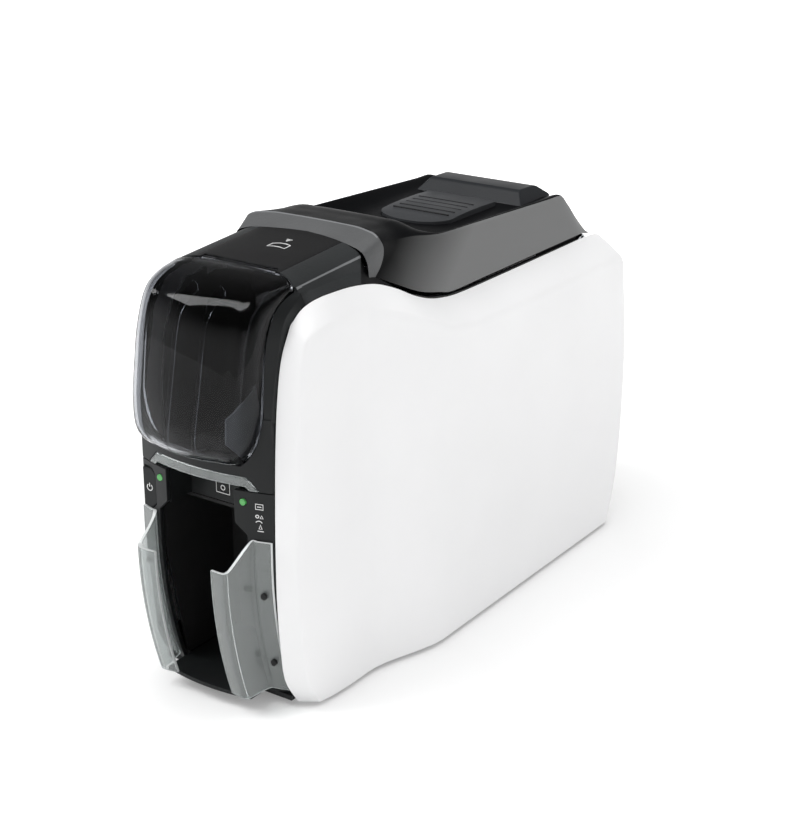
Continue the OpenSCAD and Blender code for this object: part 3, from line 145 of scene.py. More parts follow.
def grain_bump(tree, shader, scale, depth_mm):
    bump = add_node(tree, "ShaderNodeBump", {"Strength": 1.0, "Distance": depth_mm * MM,
                                             "Height": add_noise(tree, scale, 2.0)})
    feed(tree, shader, {"Normal": bump.outputs["Normal"]})


# %% Moulded plastic, metal and clear plastic
def moulded(name, colour, rough, grain=900.0, depth_mm=0.02, spread=0.06, coat=0.0, specular=0.5):
    material, tree, shader, _ = new_material(name)
    tone = remap(tree, add_noise(tree, 14.0), 0.0, 1.0)
    low = [c * (1 - spread) for c in colour]
    high = [min(1.0, c * (1 + spread)) for c in colour]
    patches = remap(tree, add_noise(tree, 45.0), rough * 0.9, min(1.0, rough * 1.1))
    feed(tree, shader, {"Base Color": tint(tree, tone, low, high), "Roughness": patches,
                        "Specular IOR Level": specular})
    if coat:
        feed(tree, shader, {"Coat Weight": coat, "Coat Roughness": 0.06})
    grain_bump(tree, shader, grain, depth_mm)
    return material


def metal(name, colour, rough, scratch=(30.0, 900.0, 900.0)):
    material, tree, shader, _ = new_material(name)
    stretch = add_node(tree, "ShaderNodeMapping", {"Vector": own_place(tree), "Scale": scratch})
    noise = add_node(tree, "ShaderNodeTexNoise", {"Scale": 1.0,
                                                  "Vector": stretch.outputs["Vector"]})
    lines = noise.outputs["Fac"]
    feed(tree, shader, {"Base Color": tint(tree, lines, [c * 0.85 for c in colour], colour),
                        "Roughness": remap(tree, lines, rough * 0.8, rough * 1.25),
                        "Metallic": 1.0})
    return material


def clear_plastic(name, colour, rough, ior, haze=0.0):
    """haze is the share of the wall that scatters light instead of passing it."""
    material, tree, shader, output = new_material(name)
    tone = remap(tree, add_noise(tree, 20.0), 0.0, 1.0)
    patches = remap(tree, add_noise(tree, 60.0), rough * 0.7, rough * 1.3)
    feed(tree, shader, {"Base Color": tint(tree, tone, [c * 0.96 for c in colour], colour),
                        "Roughness": patches, "Transmission Weight": 1.0, "IOR": ior})
    grain_bump(tree, shader, 55.0, 0.01)
    milky = add_node(tree, "ShaderNodeBsdfDiffuse", {"Color": (*colour, 1)})
    cloud = add_node(tree, "ShaderNodeMixShader", {0: haze, 1: shader.outputs[0],
                                                   2: milky.outputs[0]})
    # Light passes to what lies inside, as it does through the real thin wall.
    path = tree.nodes.new("ShaderNodeLightPath")
    veil = add_node(tree, "ShaderNodeBsdfTransparent", {"Color": (*[c ** 0.5 for c in colour], 1)})
    either = add_node(tree, "ShaderNodeMixShader", {0: path.outputs["Is Shadow Ray"],
                                                    1: cloud.outputs[0], 2: veil.outputs[0]})
    feed(tree, output, {"Surface": either.outputs[0]})
    return material


# %% Moulded and clear finishes
white_shell = moulded("white_shell", (0.86, 0.86, 0.865), 0.36, 700, 0.006, 0.012)
grained_grey = moulded("grained_grey", (0.026, 0.028, 0.029), 0.5, 700, 0.12, 0.15, specular=0.25)
lid_black = moulded("lid_black", (0.004, 0.0042, 0.0048), 0.42, 1500, 0.05, 0.10, specular=0.07)
lid_front_grey = moulded("lid_front_grey", (0.085, 0.087, 0.089), 0.5, 600, 0.2, 0.2, specular=0.3)
button_grey = moulded("button_grey", (0.035, 0.037, 0.040), 0.4, 1500, 0.03, 0.10, specular=0.4)
bar_grey = moulded("bar_grey", (0.018, 0.0195, 0.022), 0.4, 1500, 0.03, 0.10, specular=0.3)
# A light grey for narrow strips along the housing's ridges and the lid's crease: a painted
# highlight for the thin bright lines there.
painted_highlight_grey = moulded("painted_highlight_grey", (0.17, 0.175, 0.18), 0.4, 1500, 0.02, 0.08)
bezel_grey = moulded("bezel_grey", (0.012, 0.013, 0.0135), 0.42, 1300, 0.02, 0.08, specular=0.16)
deck_gloss = moulded("deck_gloss", (0.006, 0.006, 0.0065), 0.2, 300, 0.001, 0.05, specular=0.3)
gloss_black = moulded("gloss_black", (0.011, 0.011, 0.012), 0.2, 300, 0.001, 0.05, coat=0.2)
inner_black = moulded("inner_black", (0.014, 0.014, 0.0145), 0.55, 900, 0.02, 0.2, specular=0.2)
guard_grey = moulded("guard_grey", (0.2, 0.21, 0.22), 0.4, 900, 0.01, 0.1)
smoked_clear = clear_plastic("smoked_clear", (0.36, 0.37, 0.39), 0.02, 1.24)
clear_grey = clear_plastic("clear_grey", (0.62, 0.65, 0.645), 0.05, 1.4, 0.17)
# A pale opaque finish for the wings' rims: partly the frosted cut edge, partly a painted highlight.
rim_frost_and_highlight = moulded("rim_frost_and_highlight", (0.62, 0.64, 0.64), 0.25, 900, 0.01, 0.1)
print("outer finishes:", len(bpy.data.materials))

# %% The lid's sides, with painted shade and light: darker to the front and top, lighter to the rear and downward
# This change of tone is painted light and shade that stands in for how the light falls across the
# sides.
lid_side_painted_shade, tree, shader, _ = new_material("lid_side_painted_shade")
fall, middle_z, dark_y, light_y = 1.3, 238, -84, 5
along = add_node(tree, "ShaderNodeVectorMath", {0: own_place(tree), 1: (0, 1, -fall)},
                 operation="DOT_PRODUCT")
share = ramp(tree, along.outputs["Value"], (dark_y - fall * middle_z) * MM,
             (light_y - fall * middle_z) * MM, 0.0, 1.0)
feed(tree, shader, {"Base Color": tint(tree, share, (0.004, 0.0042, 0.0045), (0.18, 0.182, 0.182)),
                    "Roughness": 0.5, "Specular IOR Level": 0.08})
grain_bump(tree, shader, 1500, 0.06)
print("dark to light between", dark_y, "and", light_y, "mm along the machine")

# %% Ink, metals and inner parts
white_ink = moulded("white_ink", (0.8, 0.8, 0.8), 0.5, 1500, 0.003, 0.04)
ivory = moulded("ivory", (0.72, 0.66, 0.5), 0.4, 600, 0.01, 0.05)
steel = metal("steel", (0.62, 0.63, 0.65), 0.3)
spring_steel = metal("spring_steel", (0.5, 0.51, 0.54), 0.22)
brass = metal("brass", (0.7, 0.5, 0.22), 0.28)
bronze = metal("bronze", (0.45, 0.28, 0.15), 0.4)
rubber = moulded("rubber", (0.018, 0.018, 0.019), 0.75, 700, 0.05, 0.15)
motor_zinc = metal("motor_zinc", (0.48, 0.49, 0.5), 0.42, (200.0, 200.0, 200.0))
ceramic = moulded("ceramic", (0.62, 0.58, 0.5), 0.25, 400, 0.004, 0.05)
print("finishes:", len(bpy.data.materials))


# %% [markdown]
# ## Shapes by rule
# Each skin is a grid of points worked out from a few curves, all in millimetres. A second
# grid lies one wall thickness inside it, and a band of faces joins their rims, so the piece
# is a closed wall like the real moulding. A small bevel on its sharp edges catches the light.

# %% Arithmetic shared by the skins
def mix(a, b, t):
    return a + (b - a) * t


def clamp01(t):
    return min(1.0, max(0.0, t))


def ease(t):
    u = clamp01(t)
    return u * u * (3 - 2 * u)


def curve(points, t):
    """A smooth curve through the points; t runs from 0 to 1 along the list."""
    p = [np.asarray(q, float) for q in points]
    n = len(p) - 1
    s = clamp01(t) * n
    i = min(n - 1, int(s))
    f = s - i
    b, c = p[i], p[i + 1]
    a = p[i - 1] if i > 0 else 2 * p[0] - p[1]
    d = p[i + 2] if i + 2 <= n else 2 * p[n] - p[n - 1]
    return 0.5 * (2 * b + (c - a) * f + (2 * a - 5 * b + 4 * c - d) * f * f
                  + (3 * b - a - 3 * c + d) * f ** 3)


def lookup(x, table):
    return float(np.interp(x, [row[0] for row in table], [row[1] for row in table]))


def spread_steps(low, high, count):
    return [mix(low, high, i / count) for i in range(count + 1)]


def circle(x, z, r, turns=28):
    return [(x + r * math.cos(2 * math.pi * i / turns), z + r * math.sin(2 * math.pi * i / turns))
            for i in range(turns)]


def on_side(points, s):
    """The points as they are where s is 1, and carried to the left side where it is -1."""
    return [np.asarray(p) * (s, 1, 1) for p in points]


# %% From points to a finished piece
sides = ((1, "right"), (-1, "left"))


def finish_piece(obj, body, replaces=()):
    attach(obj, body)
    if replaces:
        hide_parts(*replaces)
    return obj


def mesh_object(name, points_mm, faces, materials, sharp_deg=38.0, bevel_mm=0.0, bevel_deg=50.0):
    mesh = bpy.data.meshes.new(name)
    mesh.from_pydata([tuple(float(c) * MM for c in p) for p in points_mm], [], faces)
    merged = bmesh.new()
    merged.from_mesh(mesh)
    bmesh.ops.remove_doubles(merged, verts=merged.verts, dist=1e-6)
    bmesh.ops.recalc_face_normals(merged, faces=merged.faces)
    merged.to_mesh(mesh)
    merged.free()
    for material in materials if isinstance(materials, (list, tuple)) else [materials]:
        mesh.materials.append(material)
    mesh.shade_smooth()
    mesh.set_sharp_from_angle(angle=math.radians(sharp_deg))
    obj = new_object(name, mesh)
    if bevel_mm:
        bevel = obj.modifiers.new("edge", "BEVEL")
        bevel.width = bevel_mm * MM
        bevel.segments = 2
        bevel.limit_method = "ANGLE"
        bevel.angle_limit = math.radians(bevel_deg)
        bevel.harden_normals = True
    return obj


# %% Closed walls from grids of points
def shell_parts(outer, inner):
    """Points and faces of a closed wall between two grids of the same size."""
    rows, cols = len(outer), len(outer[0])
    points = [p for row in outer for p in row] + [p for row in inner for p in row]
    n = rows * cols
    faces = []
    for i in range(rows - 1):
        for j in range(cols - 1):
            a = i * cols + j
            faces.append((a, a + 1, a + cols + 1, a + cols))
            faces.append((a + n, a + cols + n, a + cols + 1 + n, a + 1 + n))
    ring = list(range(cols)) + [i * cols + cols - 1 for i in range(1, rows)]
    ring += [(rows - 1) * cols + j for j in range(cols - 2, -1, -1)]
    ring += [i * cols for i in range(rows - 2, 0, -1)]
    for k, a in enumerate(ring):
        b = ring[(k + 1) % len(ring)]
        faces.append((a, b, b + n, a + n))
    return points, faces


def grid(rule, us, vs):
    return [[rule(u, v) for v in vs] for u in us]


def solid_between(outer_rule, wall_rule, us, vs):
    return shell_parts(grid(outer_rule, us, vs), grid(wall_rule, us, vs))


# %% Faces of prisms, and meshes with their modifiers applied
def prism_faces(n):
    """The sides and the two ends of a prism with n points at each end."""
    around = [(i, (i + 1) % n, n + (i + 1) % n, n + i) for i in range(n)]
    return around + [tuple(range(n)), tuple(range(2 * n - 1, n - 1, -1))]


def applied_mesh(obj):
    """The object's mesh with its modifiers applied."""
    depsgraph = bpy.context.evaluated_depsgraph_get()
    return bpy.data.meshes.new_from_object(obj.evaluated_get(depsgraph))


# %% [markdown]
# ## Side panels
# Two large white mouldings carry the whole look. In side view each is bounded by four curves,
# and a patch between them gives every point its place. The skin bulges out behind the front
# bay, rounds into its edges, and carries a slanted band along its top.

# %% The panels' rule
front_half, rear_half = 64, 78.8
bulge_start, bulge_end = -103, -40
front_gap, crest_gap, deck_gap, rear_gap = 49.2, 56, 61, 62
panel_wall, panel_foot = 2.6, 2.5
crest_end = -117
top_band, rear_round, foot_round, blend_power = 16.5, 8, 1.2, 9
front_crisp, rear_crisp, crisp_start, crisp_length = 1.02, 1.35, -60, 70
front_edge = [(-155, 2.5), (-166.5, 22), (-170, 46), (-172, 76), (-172, 110), (-171, 142),
              (-169.6, 169), (-167, 197), (-162.5, 220), (-154, 237)]
top_edge = [(-154, 237), (-146, 245.2), (-134, 249.2), (-117, 249.6), (-100, 248),
            (-83, 244.8), (-66, 238.2), (-50, 230.2), (-33, 224), (-14, 220.4), (8, 219.2),
            (60, 219), (115, 219), (165, 218.8), (178, 215.8), (184.5, 211.5)]
rear_edge = [(181.5, 2.5), (189.5, 24), (194.5, 49), (197.2, 78), (198, 108), (197, 140),
             (193.6, 167), (190, 190), (184.5, 211.5)]
chamfer = 7.2
front_reach = 48
front_fall = [(0, 1), (chamfer, 0.25), (12, 0.18), (20, 0.1), (32, 0.04), (front_reach, 0)]


# %% Where a panel's point lies
def side_x(y):
    return mix(front_half, rear_half, ease((y - bulge_start) / (bulge_end - bulge_start)))


def top_edge_x(y):
    if y < crest_end:
        turn = clamp01((y - top_edge[0][0]) / (crest_end - top_edge[0][0]))
        return mix(front_gap, crest_gap, math.sin(math.pi / 2 * turn))
    return mix(crest_gap, deck_gap, ease((y - bulge_start) / (bulge_end - bulge_start)))


def crest_z(y):
    return lookup(y, top_edge)


def quarter_drop(d, r):
    return 0.0 if d >= r else 1 - math.sqrt(max(0.0, 1 - (1 - d / r) ** 2))


def panel_point(column, row, wall):
    """A column and a row are each a share of the way across and a step in millimetres."""
    u = column[0] + column[1] / np.linalg.norm(curve(rear_edge, row[0]) - curve(front_edge, row[0]))
    v = row[0] + row[1] / (curve(top_edge, u)[1] - panel_foot)
    front = curve(front_edge, v) + wall * np.array([1, 1 - 2 * v])
    rear = curve(rear_edge, v) + wall * np.array([-1, 1 - 2 * v])
    top = curve(top_edge, u) + wall * np.array([1 - 2 * u, -1])
    bottom = np.array([mix(front_edge[0][0], rear_edge[0][0], u), panel_foot])
    bottom = bottom + wall * np.array([1 - 2 * u, 1])
    corner = [np.asarray(edge[k], float) for edge, k in
              ((front_edge, 0), (rear_edge, 0), (front_edge, -1), (rear_edge, -1))]
    corner = [c + wall * np.array(s) for c, s in zip(corner, ((1, 1), (-1, 1), (1, -1), (-1, -1)))]
    p = ((1 - u) * front + u * rear + (1 - v) * bottom + v * top
         - ((1 - u) * (1 - v) * corner[0] + u * (1 - v) * corner[1]
            + (1 - u) * v * corner[2] + u * v * corner[3]))
    y, z = p
    side = side_x(y) - wall
    to_top = np.linalg.norm(p - top)
    crisp = mix(front_crisp, rear_crisp, ease((y - crisp_start) / crisp_length))
    drops = ((side - front_gap) * lookup(np.linalg.norm(p - front), front_fall),
             (side - rear_gap) * quarter_drop(np.linalg.norm(p - rear), rear_round),
             (side - top_edge_x(y)) * max(0, 1 - to_top / top_band) ** crisp,
             foot_round * quarter_drop(np.linalg.norm(p - bottom), foot_round))
    blend = sum(d ** blend_power for d in drops) ** (1 / blend_power)
    drop = min(side - (front_gap if y < 0 else deck_gap), blend)
    return np.array([side - drop, y, z])


# %% Make the panels
near_front = (0, 0.3, 0.8, 2, 4, 5.6, 6.6, 7, chamfer, 7.4, 7.8, 8.6, 10, 12, 15, 20, 26, 33, 40,
              front_reach)
near_rear = (12, 9, 7.6, 6.2, 4.9, 3.8, 2.8, 1.9, 1.1, 0.5, 0)
near_foot = (0, 0.3, 0.7, 1.3, 2.2, 5)
near_top = (21, 18.5, 17.1, 16.6, 16.3, 15.8, 14.5, 12, 9, 6, 3.5, 1.8, 0.8, 0.3, 0)
columns = [(0, d) for d in near_front]
columns += [(t, front_reach * (1 - t / 0.5)) for t in spread_steps(0.02, 0.48, 40)]
columns += [(t, 0) for t in spread_steps(0.5, 0.95, 28)] + [(1, -d) for d in near_rear]
rows = [(0, d) for d in near_foot] + [(t, 0) for t in spread_steps(0.05, 0.88, 26)]
rows += [(1, -d) for d in near_top]
points, faces = solid_between(lambda u, v: panel_point(u, v, 0.0),
                              lambda u, v: panel_point(u, v, panel_wall), columns, rows)
for s, side_name in sides:
    panel = mesh_object(side_name + "_side_skin", on_side(points, s), faces, white_shell, 40,
                        0.35, 60)
    finish_piece(panel, "housing", [side_name + "_side_panel"])
print("panel points:", len(points))

# %% [markdown]
# ## Clear hopper cover
# The cover is one clear moulding, flat across the middle and turned back at the sides by a
# quarter of a superellipse. Its profile changes from the centre to the rim, so each height
# has three guide points, and the rim turns in between the arms of the bezel.

# %% The cover's rule
cover_half, cover_wall, cover_flat = 44, 2.2, 29
cover_half_list = (30, 33.5, 37.5, 41.2, cover_half)
cover_centre = [(-180.6, 158), (-189.5, 160.4), (-195, 166.2), (-196.4, 174), (-193.9, 189),
                (-190.3, 207.5), (-186.9, 225), (-182.2, 241), (-175.5, 252.2), (-162, 258),
                (-149, 260.2), (-137.7, 260.5)]
cover_turn = [(-177.6, 158), (-186.3, 160.5), (-191.8, 166.3), (-193.1, 174), (-190.6, 189),
              (-187.2, 207.5), (-183.7, 225), (-179, 241), (-172.6, 251.4), (-161, 257.4),
              (-149.5, 259.6), (-139.2, 260.2)]
cover_rim = [(-177.2, 158.2), (-178.6, 161.5), (-178.8, 167), (-178, 175), (-177, 189),
             (-175.2, 207.5), (-172.6, 225), (-166.5, 240.2), (-161, 247.2), (-153.5, 251.8),
             (-148, 253.8), (-144.5, 255)]
rim_return, lip_thinning, lip_part = 3.6, 0.3, 0.14
turn_power, top_turn_power, top_start = 2.3, 1.2, 0.75
hinge_y, hinge_z, barrel_r, barrel_half, hinge_rod_r = -136.2, 258.9, 2.1, 27, 1.0


# %% Where the cover's points lie, outside and inside
def corner_blend(u, q):
    return 1 - (1 - min(1.0, u) ** q) ** (1 / q)


def cover_point(s, a):
    """s is the height along the profile, a the distance from the centre line."""
    c, e, r = curve(cover_centre, s), curve(cover_turn, s), curve(cover_rim, s)
    across = min(abs(a), cover_half)
    t = curve(cover_rim, min(1, s + 0.01)) - curve(cover_rim, max(0, s - 0.01))
    back = max(0.0, abs(a) - cover_half) * np.array([t[1], -t[0]]) / np.linalg.norm(t)
    n = len(cover_half_list) - 1
    k = s * (len(cover_rim) - 1)
    narrow = float(curve(cover_half_list, k / n)) / cover_half if k < n else 1.0
    if across <= cover_flat:
        p = mix(c, e, (across / cover_flat) ** 2)
    else:
        u = (across - cover_flat) / (cover_half - cover_flat)
        q = mix(turn_power, top_turn_power, ease((s - top_start) / (1 - top_start)))
        p = np.array([mix(e[0], r[0], corner_blend(u, q)),
                      mix(e[1], r[1], corner_blend(u, turn_power))])
    p = p + back
    return np.array([math.copysign(across * narrow, a), p[0], p[1]])


def cover_inner(s, a):
    s0, s1 = max(0.0, s - 0.002), min(1.0, s + 0.002)
    along = cover_point(s1, a) - cover_point(s0, a)
    across = cover_point(s, a + 0.08) - cover_point(s, a - 0.08)
    normal = np.cross(along, across)
    wall = cover_wall * mix(lip_thinning, 1, clamp01(s / lip_part))
    return cover_point(s, a) + wall * normal / np.linalg.norm(normal)


# %% Make the cover
half_as = [0, 6, 12, 17, 21, 25, 28, 30, 31.8, 33.4, 34.8, 36, 37.2, 38.3, 39.3, 40.2, 41, 41.7,
           42.3, 42.8, 43.2, 43.6, 43.85, 44, 44.9, 46, cover_half + rim_return]
cover_as = [-a for a in half_as[:0:-1]] + half_as
cover_ss = spread_steps(0, 0.36, 34) + spread_steps(0.372, 1, 62)
points, faces = solid_between(cover_point, cover_inner, cover_ss, cover_as)
cover = mesh_object("hopper_cover_skin", points, faces, smoked_clear, 50)
finish_piece(cover, "hopper_cover", ["hopper_cover"])
print("cover points:", len(points))


# %% Tubes, rods and flat bars
def tube(name, axis, ends, centre, r_out, r_in, materials, turns=40):
    """A tube along X or Y (axis 0 or 1), closed at its ends, or a rod where r_in is 0."""
    start, end = ends
    loops = [(start, r_out), (end, r_out)] + ([(end, r_in), (start, r_in)] if r_in else [])
    points = [np.insert(p, axis, along) for along, r in loops for p in circle(*centre, r, turns)]
    faces = prism_faces(turns)
    if r_in:
        starts = (0, turns, 2 * turns, 3 * turns)
        faces = [(a + i, a + (i + 1) % turns, b + (i + 1) % turns, b + i)
                 for a, b in zip(starts, starts[1:] + starts[:1]) for i in range(turns)]
    return mesh_object(name, points, faces, materials, 40, min(0.25, r_out * 0.1))


def prism_x(name, outline, x0, x1, materials, bevel_mm=0.3):
    """An outline of [y, z] points carried from x0 to x1."""
    points = [(x, y, z) for x in (x0, x1) for y, z in outline]
    return mesh_object(name, points, prism_faces(len(outline)), materials, 38, bevel_mm, 25)


# %% Several meshes made one
def join(name, objects):
    """Several meshes as one, so that they count as one piece."""
    build = bmesh.new()
    materials = []
    for obj in objects:
        mesh = applied_mesh(obj)
        for material in mesh.materials:
            if material not in materials:
                materials.append(material)
        places = [materials.index(m) for m in mesh.materials]
        first = len(build.faces)
        build.from_mesh(mesh)
        build.faces.ensure_lookup_table()
        for face in build.faces[first:]:
            face.material_index = places[face.material_index]
        bpy.data.objects.remove(obj)
    mesh = bpy.data.meshes.new(name)
    build.to_mesh(mesh)
    build.free()
    for material in materials:
        mesh.materials.append(material)
    return new_object(name, mesh)


# %% The cover's barrel and its two inner ribs
bore_r = hinge_rod_r + 0.05
barrel = tube("barrel", 0, (-barrel_half, barrel_half), (hinge_y, hinge_z), barrel_r, bore_r,
              smoked_clear)
web_front, web_rear, web_foot, web_top = hinge_y - 3.8, hinge_y - 1.4, hinge_z - 0.6, hinge_z + 1
web = prism_x("web", [(web_front, web_foot), (web_rear, web_foot), (web_rear, web_top),
                      (web_front, web_top)], -barrel_half, barrel_half, smoked_clear, 0.15)
finish_piece(join("hopper_cover_barrel", [barrel, web]), "hopper_cover")
rib_x, rib_half, rib_rear_y, rib_play = 9.8, 0.5, -161, 0.05
rib_foot_depth, rib_mid_depth, rib_top_depth, rib_top_drop = 1.6, 3.2, 14, 3


def rib_outline():
    """Each rib grows deeper from the cover's lip upward, and most under its top."""
    outer = [cover_inner(s, rib_x)[1:] for s in spread_steps(0.1, 0.8, 40)]
    outer = [(p[0] + rib_play, p[1] - rib_play) for p in outer if p[0] < rib_rear_y]
    inner = []
    for k, p in enumerate(outer):
        part = k / (len(outer) - 1)
        depth = mix(rib_foot_depth, rib_mid_depth, clamp01(part * 2))
        depth += rib_top_depth * ease((part - 0.72) / 0.28)
        drop = rib_top_drop * ease((part - 0.8) / 0.2)
        inner.append((min(rib_rear_y, p[0] + depth), p[1] - drop))
    return outer + inner[::-1]


ribs = [prism_x("rib", rib_outline(), x - rib_half, x + rib_half, smoked_clear, 0.15)
        for x in (-rib_x, rib_x)]
finish_piece(join("hopper_cover_ribs", ribs), "hopper_cover")


# %% [markdown]
# ## Front bezels
# The dark face round the cover and the output bay bows forward in plan and leans back at its
# foot. It is drawn flat, as an outline with holes, filled with small triangles, and every
# point is then moved to its place on the bowed face.

# %% Bowed plates
bow_front, bow_rate, lean_top, lean_rate = -181, 0.0036, 99, 0.0019
bezel_half, bezel_wall, seam = front_gap - 0.4, 3, 0.4


def bow(x):
    return bow_front + bow_rate * x * x


def lean(z):
    return lean_rate * (lean_top - z) ** 2 if z < lean_top else 0.0


# %% Flat outlines filled with triangles
def inside(p, outline):
    hit = False
    for a, b in zip(outline, outline[1:] + outline[:1]):
        if (a[1] > p[1]) != (b[1] > p[1]) and p[0] < mix(a[0], b[0], (p[1] - a[1]) / (b[1] - a[1])):
            hit = not hit
    return hit


def fill(outline, holes=(), spacing=3.0):
    """Triangles that fill an outline round its holes, with points inside at the spacing."""
    loops = [list(outline)] + [list(h) for h in holes]
    points, edges = [], []
    for loop in loops:
        first = len(points)
        points += [Vector(p) for p in loop]
        edges += [(first + i, first + (i + 1) % len(loop)) for i in range(len(loop))]
    lows, highs = np.min(outline, 0), np.max(outline, 0)
    for x in np.arange(lows[0] + spacing / 2, highs[0], spacing):
        for z in np.arange(lows[1] + spacing / 2, highs[1], spacing):
            if inside((x, z), loops[0]) and not any(inside((x, z), h) for h in loops[1:]):
                if min((Vector((x, z)) - p).length for p in points) > spacing * 0.45:
                    points.append(Vector((x, z)))
    verts, _, faces, *_ = delaunay_2d_cdt(points, edges, [], 0, 1e-5)
    middle = lambda f: sum((verts[i] for i in f), Vector((0, 0))) / len(f)
    keep = [f for f in faces if inside(middle(f), loops[0])
            and not any(inside(middle(f), h) for h in loops[1:])]
    return [tuple(v) for v in verts], keep


# %% Flat sheets laid on curved surfaces
def closed_wall(flat, faces, place, wall_place):
    """A flat sheet laid on two surfaces, with the rim between them closed."""
    n = len(flat)
    points = [place(a, b) for a, b in flat] + [wall_place(a, b) for a, b in flat]
    owners = {}
    for f in faces:
        for a, b in zip(f, f[1:] + f[:1]):
            owners.setdefault((min(a, b), max(a, b)), []).append((a, b))
    rim = [edges[0] for edges in owners.values() if len(edges) == 1]
    faces = list(faces) + [tuple(i + n for i in f[::-1]) for f in faces]
    return points, faces + [(b, a, a + n, b + n) for a, b in rim]


def plate(name, outline, holes, place, wall_place, materials, spacing=3.0, bevel_mm=0.3,
          longest=2.5):
    """A closed wall from a flat outline; place and wall_place give its two faces."""
    flat, faces = fill(split_edges(outline, longest), [split_edges(h, longest) for h in holes],
                       spacing)
    points, faces = closed_wall(flat, faces, place, wall_place)
    return mesh_object(name, points, faces, materials, 38, bevel_mm, 45)


def split_edges(outline, longest):
    result = []
    for a, b in zip(outline, list(outline[1:]) + [outline[0]]):
        parts = max(1, math.ceil(math.dist(a, b) / longest))
        result += [(mix(a[0], b[0], k / parts), mix(a[1], b[1], k / parts)) for k in range(parts)]
    return result


def on_front(ahead=0.0):
    return lambda x, z: (x, bow(x) + lean(z) - ahead, z)


def mirrored(half):
    """A closed outline from its right half, listed from the bottom of the centre line up."""
    return list(half) + [(-x, z) for x, z in reversed(half)]


# %% Upper bezel: the frame under the cover
bezel_seam_z, sill_top_z, arm_plate_top = 143, 157.5, 187.6
visor_half, visor_top_z, visor_band = 33, 151, 5.5
opening = [(float(curve(cover_half_list, t)) + seam,
            float(curve([p[1] for p in cover_rim[:5]], t)) - seam) for t in spread_steps(1, 0, 24)]
opening = [p for p in opening if p[1] < arm_plate_top - 1]
foot_z = bezel_seam_z + seam / 2
notch_x = visor_half + visor_top_z + seam - foot_z + 0.2
frame_half = [(visor_half + 0.2, visor_top_z + seam), (notch_x, foot_z), (bezel_half, foot_z),
              (bezel_half, arm_plate_top), (cover_half + seam, arm_plate_top)] + opening
frame_half += [(cover_half_list[0], sill_top_z)]
upper = plate("upper", mirrored(frame_half), [], on_front(), on_front(-bezel_wall), bezel_grey, 3.0,
              0.35)
print("points round the opening:", len(opening))

# %% The two arms beside the cover
arm_rim = [(-173.6, 186), (-173.5, 199), (-172.2, 212), (-170.6, 224), (-168.2, 234),
           (-163.6, 243), (-157.5, 248.6), (-150, 251.8), (-142.6, 253.6)]
arm_turn = [(-172, 186), (-170.2, 199), (-167, 212), (-164, 224), (-161.4, 234),
            (-157.4, 241.8), (-152.8, 245.8), (-147.6, 249.6), (-142.6, 253.2)]
arm_foot = [(0, -167.4, 185), (0, -165.2, 198), (0, -162, 211), (0, -159, 223), (0, -157, 232.6),
            (0.2, -153.5, 237.6), (1.2, -149.8, 240.8), (2.4, -145.6, 244.2), (3.3, -142.6, 246.2)]
arm_play, arm_side_wall, arm_foot_wall = 0.06, 2.3, 1.4


def arm_section(t):
    """The arm's rim beside the cover, its turn, and its foot beside the panel."""
    rim, turn, foot = curve(arm_rim, t), curve(arm_turn, t), curve(arm_foot, t)
    inner_x, outer_x = cover_half + seam + arm_play, bezel_half - arm_play
    return [np.array((inner_x, *rim)), np.array((outer_x, *turn)),
            np.array((outer_x + foot[0], foot[1], foot[2]))]


def arm_inner(t):
    rim, turn, foot = arm_section(t)
    along = curve(arm_rim, min(1, t + 0.01)) - curve(arm_rim, max(0, t - 0.01))
    inward = bezel_wall * np.array((0, along[1], -along[0])) / np.linalg.norm(along)
    return [rim + inward, turn + inward + (-arm_side_wall, 0, 0),
            foot + (-arm_side_wall, 0, -arm_foot_wall)]


def across_arm(section, v):
    return mix(section[0], section[1], v) if v <= 1 else mix(section[1], section[2], v - 1)


# %% Make the arms and join them to the frame
arm_vs = (0, 0.5, 1, 1.5, 2)
points, faces = solid_between(lambda t, v: across_arm(arm_section(t), v),
                              lambda t, v: across_arm(arm_inner(t), v),
                              spread_steps(0, 1, 56), arm_vs)
arms = [mesh_object("arm", on_side(points, s), faces, bezel_grey, 30, 0.5, 24) for s, _ in sides]
finish_piece(join("upper_bezel_skin", [upper] + arms), "housing",
             ["upper_front_bezel"])
print("arm points:", len(points))

# %% Lower bezel: a cheek on each side of the output bay, and the sill under it
bay_half, bay_wide, flare_z, flare_top = 25.4, 33, 115.5, 122.5
power_x, power_z, power_w, power_h, power_cut = -41.4, 126.5, 10, 24.4, 3
led_x, led_z, led_r = 31, 136, 2.2
cheek_foot, sill_z, sill_h = 8, 5, 3.6


def power_outline(grow):
    w, h = power_w / 2 + grow, power_h / 2 + grow
    return [(power_x - w, power_z - h), (power_x + w - power_cut, power_z - h),
            (power_x + w, power_z - h + power_cut), (power_x + w, power_z + h - power_cut),
            (power_x + w - power_cut, power_z + h), (power_x - w, power_z + h)]


cheek_top = bezel_seam_z - seam / 2
cheek = [(bay_wide, cheek_foot), (bezel_half, cheek_foot), (bezel_half, cheek_top),
         (bay_half, cheek_top), (bay_half, flare_top), (bay_wide, flare_z)]
parts = []
for s, _ in sides:
    holes = [circle(s * led_x, led_z, led_r)] + ([power_outline(seam)] if s < 0 else [])
    parts.append(plate("cheek", [(s * x, z) for x, z in cheek], holes, on_front(),
                       on_front(-bezel_wall), bezel_grey, 3.2, 0.35))
sill_front = bow_front + lean(sill_z) + 4
sill_rear = sill_front + 4
sill_line = [(sill_front, sill_z), (sill_rear, sill_z), (sill_rear, sill_z + sill_h),
             (sill_front, sill_z + sill_h)]
parts.append(prism_x("sill", sill_line, -bezel_half, bezel_half, bezel_grey, 0.5))
finish_piece(join("lower_bezel_skin", parts), "housing", ["lower_front_bezel"])

